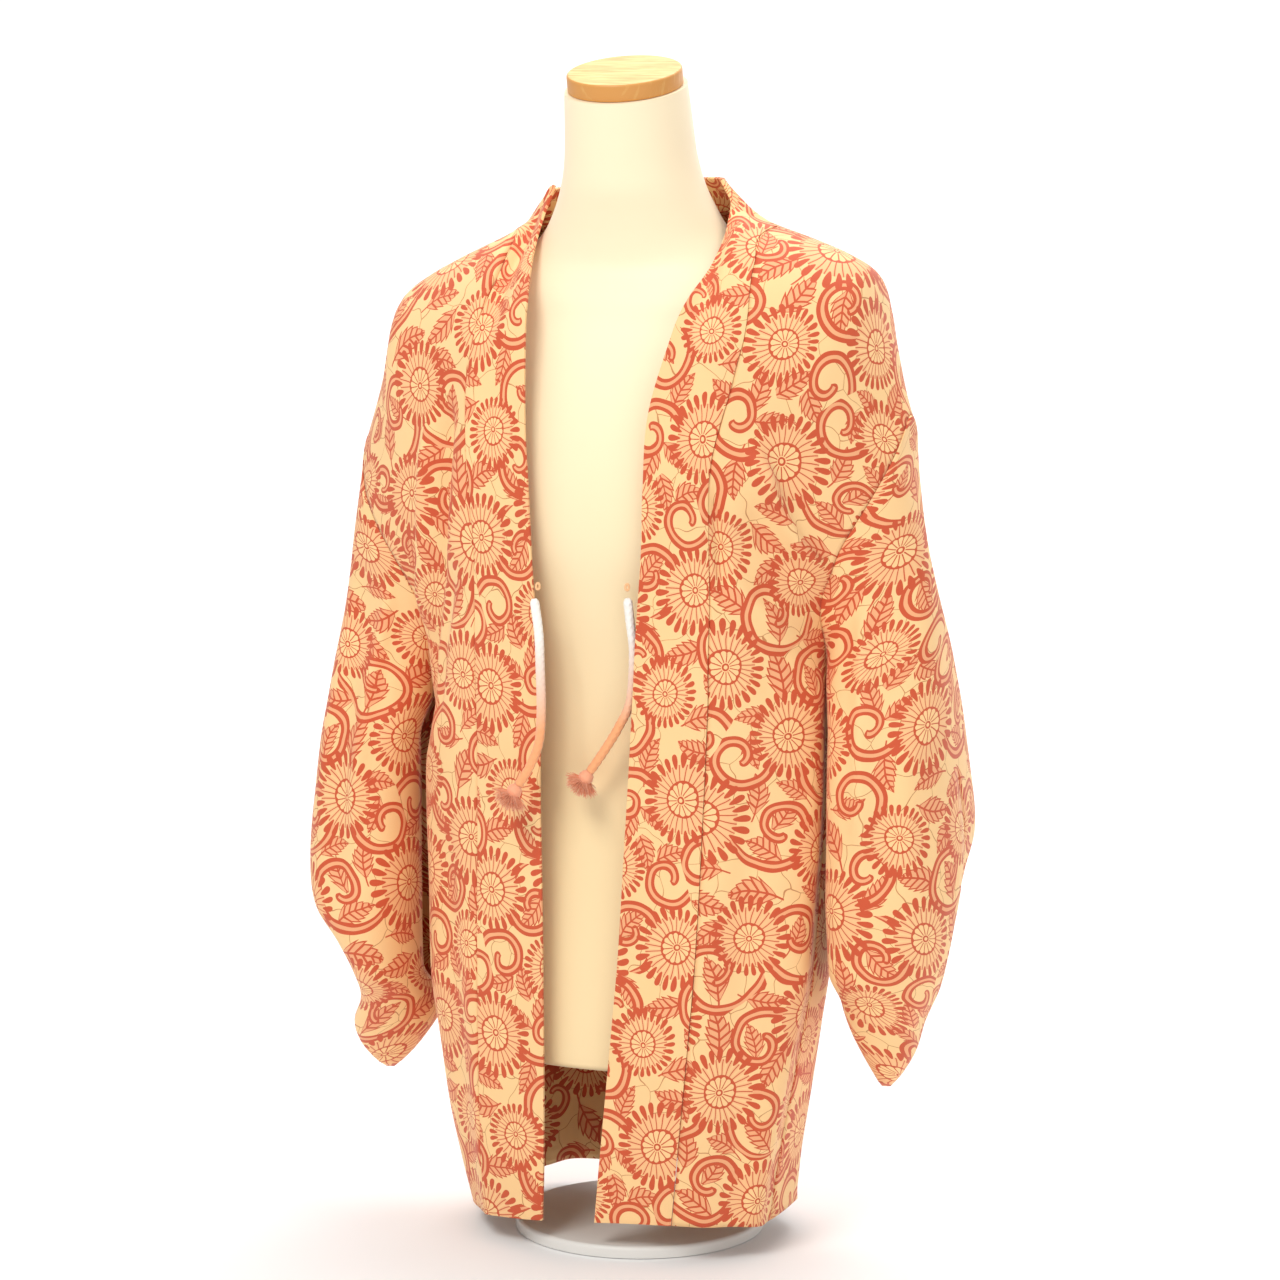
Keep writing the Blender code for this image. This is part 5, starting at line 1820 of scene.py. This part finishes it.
class HaoriSettings(bpy.types.PropertyGroup):
    """Sizes and colours of the jacket and its form."""

    silk_wall: FloatProperty(
        name="Silk", description="Thickness of the cloth", default=0.0011, unit="LENGTH"
    )
    collar_wall: FloatProperty(
        name="Collar",
        description="Thickness of the folded collar",
        default=0.0024,
        unit="LENGTH",
    )
    strands: IntProperty(
        name="Strands", description="Strands of each tassel", default=420, min=40, max=1500
    )
    ground: colour_setting("Ground", "Cloth between the motifs", (0.94, 0.61, 0.29))
    rust: colour_setting("Rust", "Lines and tips of the print", (0.60, 0.088, 0.030))
    petal: colour_setting("Petal", "Light fill of the motifs", (0.86, 0.41, 0.20))
    hairline: colour_setting("Hairline", "Fine lines of the ground", (0.52, 0.20, 0.07))
    cover: colour_setting("Cover", "Satin of the form", (0.98, 0.84, 0.58))
    # Painted shade: the satin's darker, more orange colour near its lower edge stands in for shade
    # and the jacket's orange bounce light.
    cover_painted_shade: colour_setting("Cover painted shade", "Satin near its lower edge", (0.97, 0.76, 0.43))
    wood: colour_setting("Wood", "Wood of the cap", (0.84, 0.62, 0.22))
    wood_grain: colour_setting("Wood grain", "Grain of the cap", (0.66, 0.30, 0.07))
    metal: colour_setting("Metal", "Coat of the stand", (0.80, 0.78, 0.74))
    metal_shade: colour_setting("Metal shade", "Darker coat", (0.74, 0.72, 0.68))
    cord_top: colour_setting("Cord top", "Cord at its loop", (0.95, 0.92, 0.86))
    cord_end: colour_setting("Cord end", "Cord at its tassel", (0.93, 0.40, 0.17))
    tassel_dark: colour_setting("Tassel dark", "Darker threads", (0.84, 0.26, 0.12))
    tassel_light: colour_setting("Tassel light", "Lighter threads", (1.0, 0.50, 0.30))


# ------------------------------------------------------------------------- operators
def aimed(obj, place, aim):
    """Puts the camera or a light in the scene at a place, looking at another."""
    bpy.context.scene.collection.objects.link(obj)
    obj.location = place
    obj.rotation_mode = "QUATERNION"
    obj.rotation_quaternion = (Vector(aim) - Vector(place)).to_track_quat("-Z", "Y")


def make_floor():
    """A floor that curves up into a backdrop."""
    bm = bmesh.new()
    profile = [(FLOOR_FRONT, 0.0), (FLOOR_BEND, 0.0)]
    for k in range(1, BEND_STEPS + 1):
        angle = math.pi / 2 * k / BEND_STEPS
        back = FLOOR_BEND + BEND_RADIUS * math.sin(angle)
        profile.append((back, BEND_RADIUS * (1.0 - math.cos(angle))))
    profile.append((FLOOR_BEND + BEND_RADIUS, BACKDROP_TOP))
    lines = [[bm.verts.new((x, y, z)) for x in (-FLOOR_HALF, FLOOR_HALF)] for y, z in profile]
    for lower, upper in zip(lines, lines[1:]):
        bm.faces.new((lower[0], lower[1], upper[1], upper[0]))
    mesh = meshed("floor", bm, outward=False)
    floor = bpy.data.objects.new("floor", mesh)
    bpy.context.scene.collection.objects.link(floor)
    floor.location.z = -FLOOR_DROP
    material, tree, shader = new_material("floor_paper", 0.9, Base_Color=FLOOR_COLOUR)
    # From behind, the backdrop is clear, so that it hides nothing.
    side = new_node(tree, "ShaderNodeNewGeometry")
    clear = new_node(tree, "ShaderNodeBsdfTransparent")
    either = new_node(tree, "ShaderNodeMixShader")
    tree.links.new(side.outputs["Backfacing"], either.inputs["Fac"])
    tree.links.new(shader.outputs["BSDF"], either.inputs[1])
    tree.links.new(clear.outputs["BSDF"], either.inputs[2])
    tree.links.new(either.outputs["Shader"], tree.nodes["Material Output"].inputs["Surface"])
    mesh.materials.append(material)


class HAORI_OT_stage(bpy.types.Operator):
    """Sets the camera, the floor with its backdrop, and the studio lights"""

    bl_idname = "haori.stage"
    bl_label = "Stage"

    def execute(self, context):
        camera_data = bpy.data.cameras.new("camera")
        camera_data.lens = CAMERA_LENS
        camera_data.sensor_width = CAMERA_SENSOR
        camera = bpy.data.objects.new("camera", camera_data)
        turn = math.radians(CAMERA_AZIMUTH)
        lift = math.radians(CAMERA_ELEVATION)
        level = math.cos(lift)
        back = Vector((math.sin(turn) * level, -math.cos(turn) * level, math.sin(lift)))
        target = Vector(CAMERA_TARGET)
        aimed(camera, target + back * CAMERA_DISTANCE, target)
        context.scene.camera = camera
        context.scene.view_settings.view_transform = "Standard"
        make_floor()
        world = bpy.data.worlds.new("studio")
        world.use_nodes = True
        background = world.node_tree.nodes["Background"]
        background.inputs["Color"].default_value = WORLD_COLOUR
        background.inputs["Strength"].default_value = WORLD_STRENGTH
        context.scene.world = world
        for name, place, aim, size, power_w, colour in LIGHTS:
            light = bpy.data.lights.new(name, "AREA")
            light.size = size
            light.energy = power_w
            light.color = colour
            aimed(bpy.data.objects.new(name, light), place, aim)
        return {"FINISHED"}


class HAORI_OT_cords(bpy.types.Operator):
    """Makes the two tie cords with their loops and tassels"""

    bl_idname = "haori.cords"
    bl_label = "Cords, loops and tassels"

    def execute(self, context):
        settings = context.scene.haori
        braid = braid_material(settings)
        thread = tassel_material(settings)
        plain = loop_material(settings)
        for side in SIDES:
            cord = make_cord(side, braid)
            make_loop(side, plain)
            tassel = make_tassel(side, settings.strands, thread)
            points = curve_through(CORD_ROUTES[side], PATH_POINTS)
            round(travelled(points)[-1], 4)
        return {"FINISHED"}


class HAORI_OT_panels(bpy.types.Operator):
    """Makes the two body panels, each from its front hem over the shoulder to the back"""

    bl_idname = "haori.panels"
    bl_label = "Body panels"

    def execute(self, context):
        settings = context.scene.haori
        for side in SIDES:
            panel = make_panel(side, settings.silk_wall, silk_material(settings))
        return {"FINISHED"}


class HAORI_OT_gussets(bpy.types.Operator):
    """Makes the narrow side gussets below the armholes"""

    bl_idname = "haori.gussets"
    bl_label = "Side gussets"

    def execute(self, context):
        settings = context.scene.haori
        for side in SIDES:
            gusset = make_gusset(side, settings.silk_wall, silk_material(settings))
        return {"FINISHED"}


class HAORI_OT_sleeves(bpy.types.Operator):
    """Makes the two sleeves, each one length of cloth folded at its outer edge"""

    bl_idname = "haori.sleeves"
    bl_label = "Sleeves"

    def execute(self, context):
        settings = context.scene.haori
        for side in SIDES:
            sleeve = make_sleeve(side, settings.silk_wall, silk_material(settings))
        return {"FINISHED"}


class HAORI_OT_collar(bpy.types.Operator):
    """Makes the collar, one folded strip round the neck and down both fronts"""

    bl_idname = "haori.collar"
    bl_label = "Collar"

    def execute(self, context):
        settings = context.scene.haori
        collar = make_collar(settings.collar_wall, silk_material(settings))
        return {"FINISHED"}


class HAORI_OT_form(bpy.types.Operator):
    """Makes the limbless torso form with its neck cap"""

    bl_idname = "haori.form"
    bl_label = "Dress form"

    def execute(self, context):
        settings = context.scene.haori
        make_form(cover_material(settings))
        profile = rounded_disc(CAP_RADIUS, CAP_HEIGHT, *CAP_ROUNDS)
        wood = wood_material(settings)
        cap = turned("neck_cap", profile, wood, CAP_CENTRE, CAP_TILT)
        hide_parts("form_neck_cap")
        return {"FINISHED"}


class HAORI_OT_stand(bpy.types.Operator):
    """Makes the stand's pole and base plate"""

    bl_idname = "haori.stand"
    bl_label = "Stand"

    def execute(self, context):
        coat = coated_material(context.scene.haori)
        plate = rounded_disc(BASE_RADIUS, BASE_HEIGHT, *BASE_ROUNDS)
        base = turned("base_plate", plate, coat)
        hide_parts("stand_base")
        foot = BASE_HEIGHT + SEAM
        top = FORM_BOTTOM - SEAM
        profile = [(POLE_HUB, top), (POLE_RADIUS, top), (POLE_RADIUS, foot), (POLE_HUB, foot)]
        pole = turned("pole", profile, coat)
        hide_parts("stand_pole")
        return {"FINISHED"}


OPERATORS = (
    HAORI_OT_stage,
    HAORI_OT_cords,
    HAORI_OT_panels,
    HAORI_OT_gussets,
    HAORI_OT_sleeves,
    HAORI_OT_collar,
    HAORI_OT_form,
    HAORI_OT_stand,
)


class HAORI_PT_panel(bpy.types.Panel):
    """Lists the pieces and their sizes and colours"""

    bl_idname = "HAORI_PT_panel"
    bl_label = "Haori"
    bl_space_type = "VIEW_3D"
    bl_region_type = "UI"
    bl_category = "Haori"

    def draw(self, context):
        settings = context.scene.haori
        for operator in OPERATORS:
            self.layout.operator(operator.bl_idname)
        for name in HaoriSettings.__annotations__:
            self.layout.prop(settings, name)


def register():
    for cls in (HaoriSettings, *OPERATORS, HAORI_PT_panel):
        bpy.utils.register_class(cls)
    bpy.types.Scene.haori = PointerProperty(type=HaoriSettings)


def unregister():
    del bpy.types.Scene.haori
    for cls in (HAORI_PT_panel, *reversed(OPERATORS), HaoriSettings):
        bpy.utils.unregister_class(cls)


def main():
    register()
    for operator in OPERATORS:
        space, name = operator.bl_idname.split(".")
        getattr(getattr(bpy.ops, space), name)()


if __name__ == "__main__":
    main()
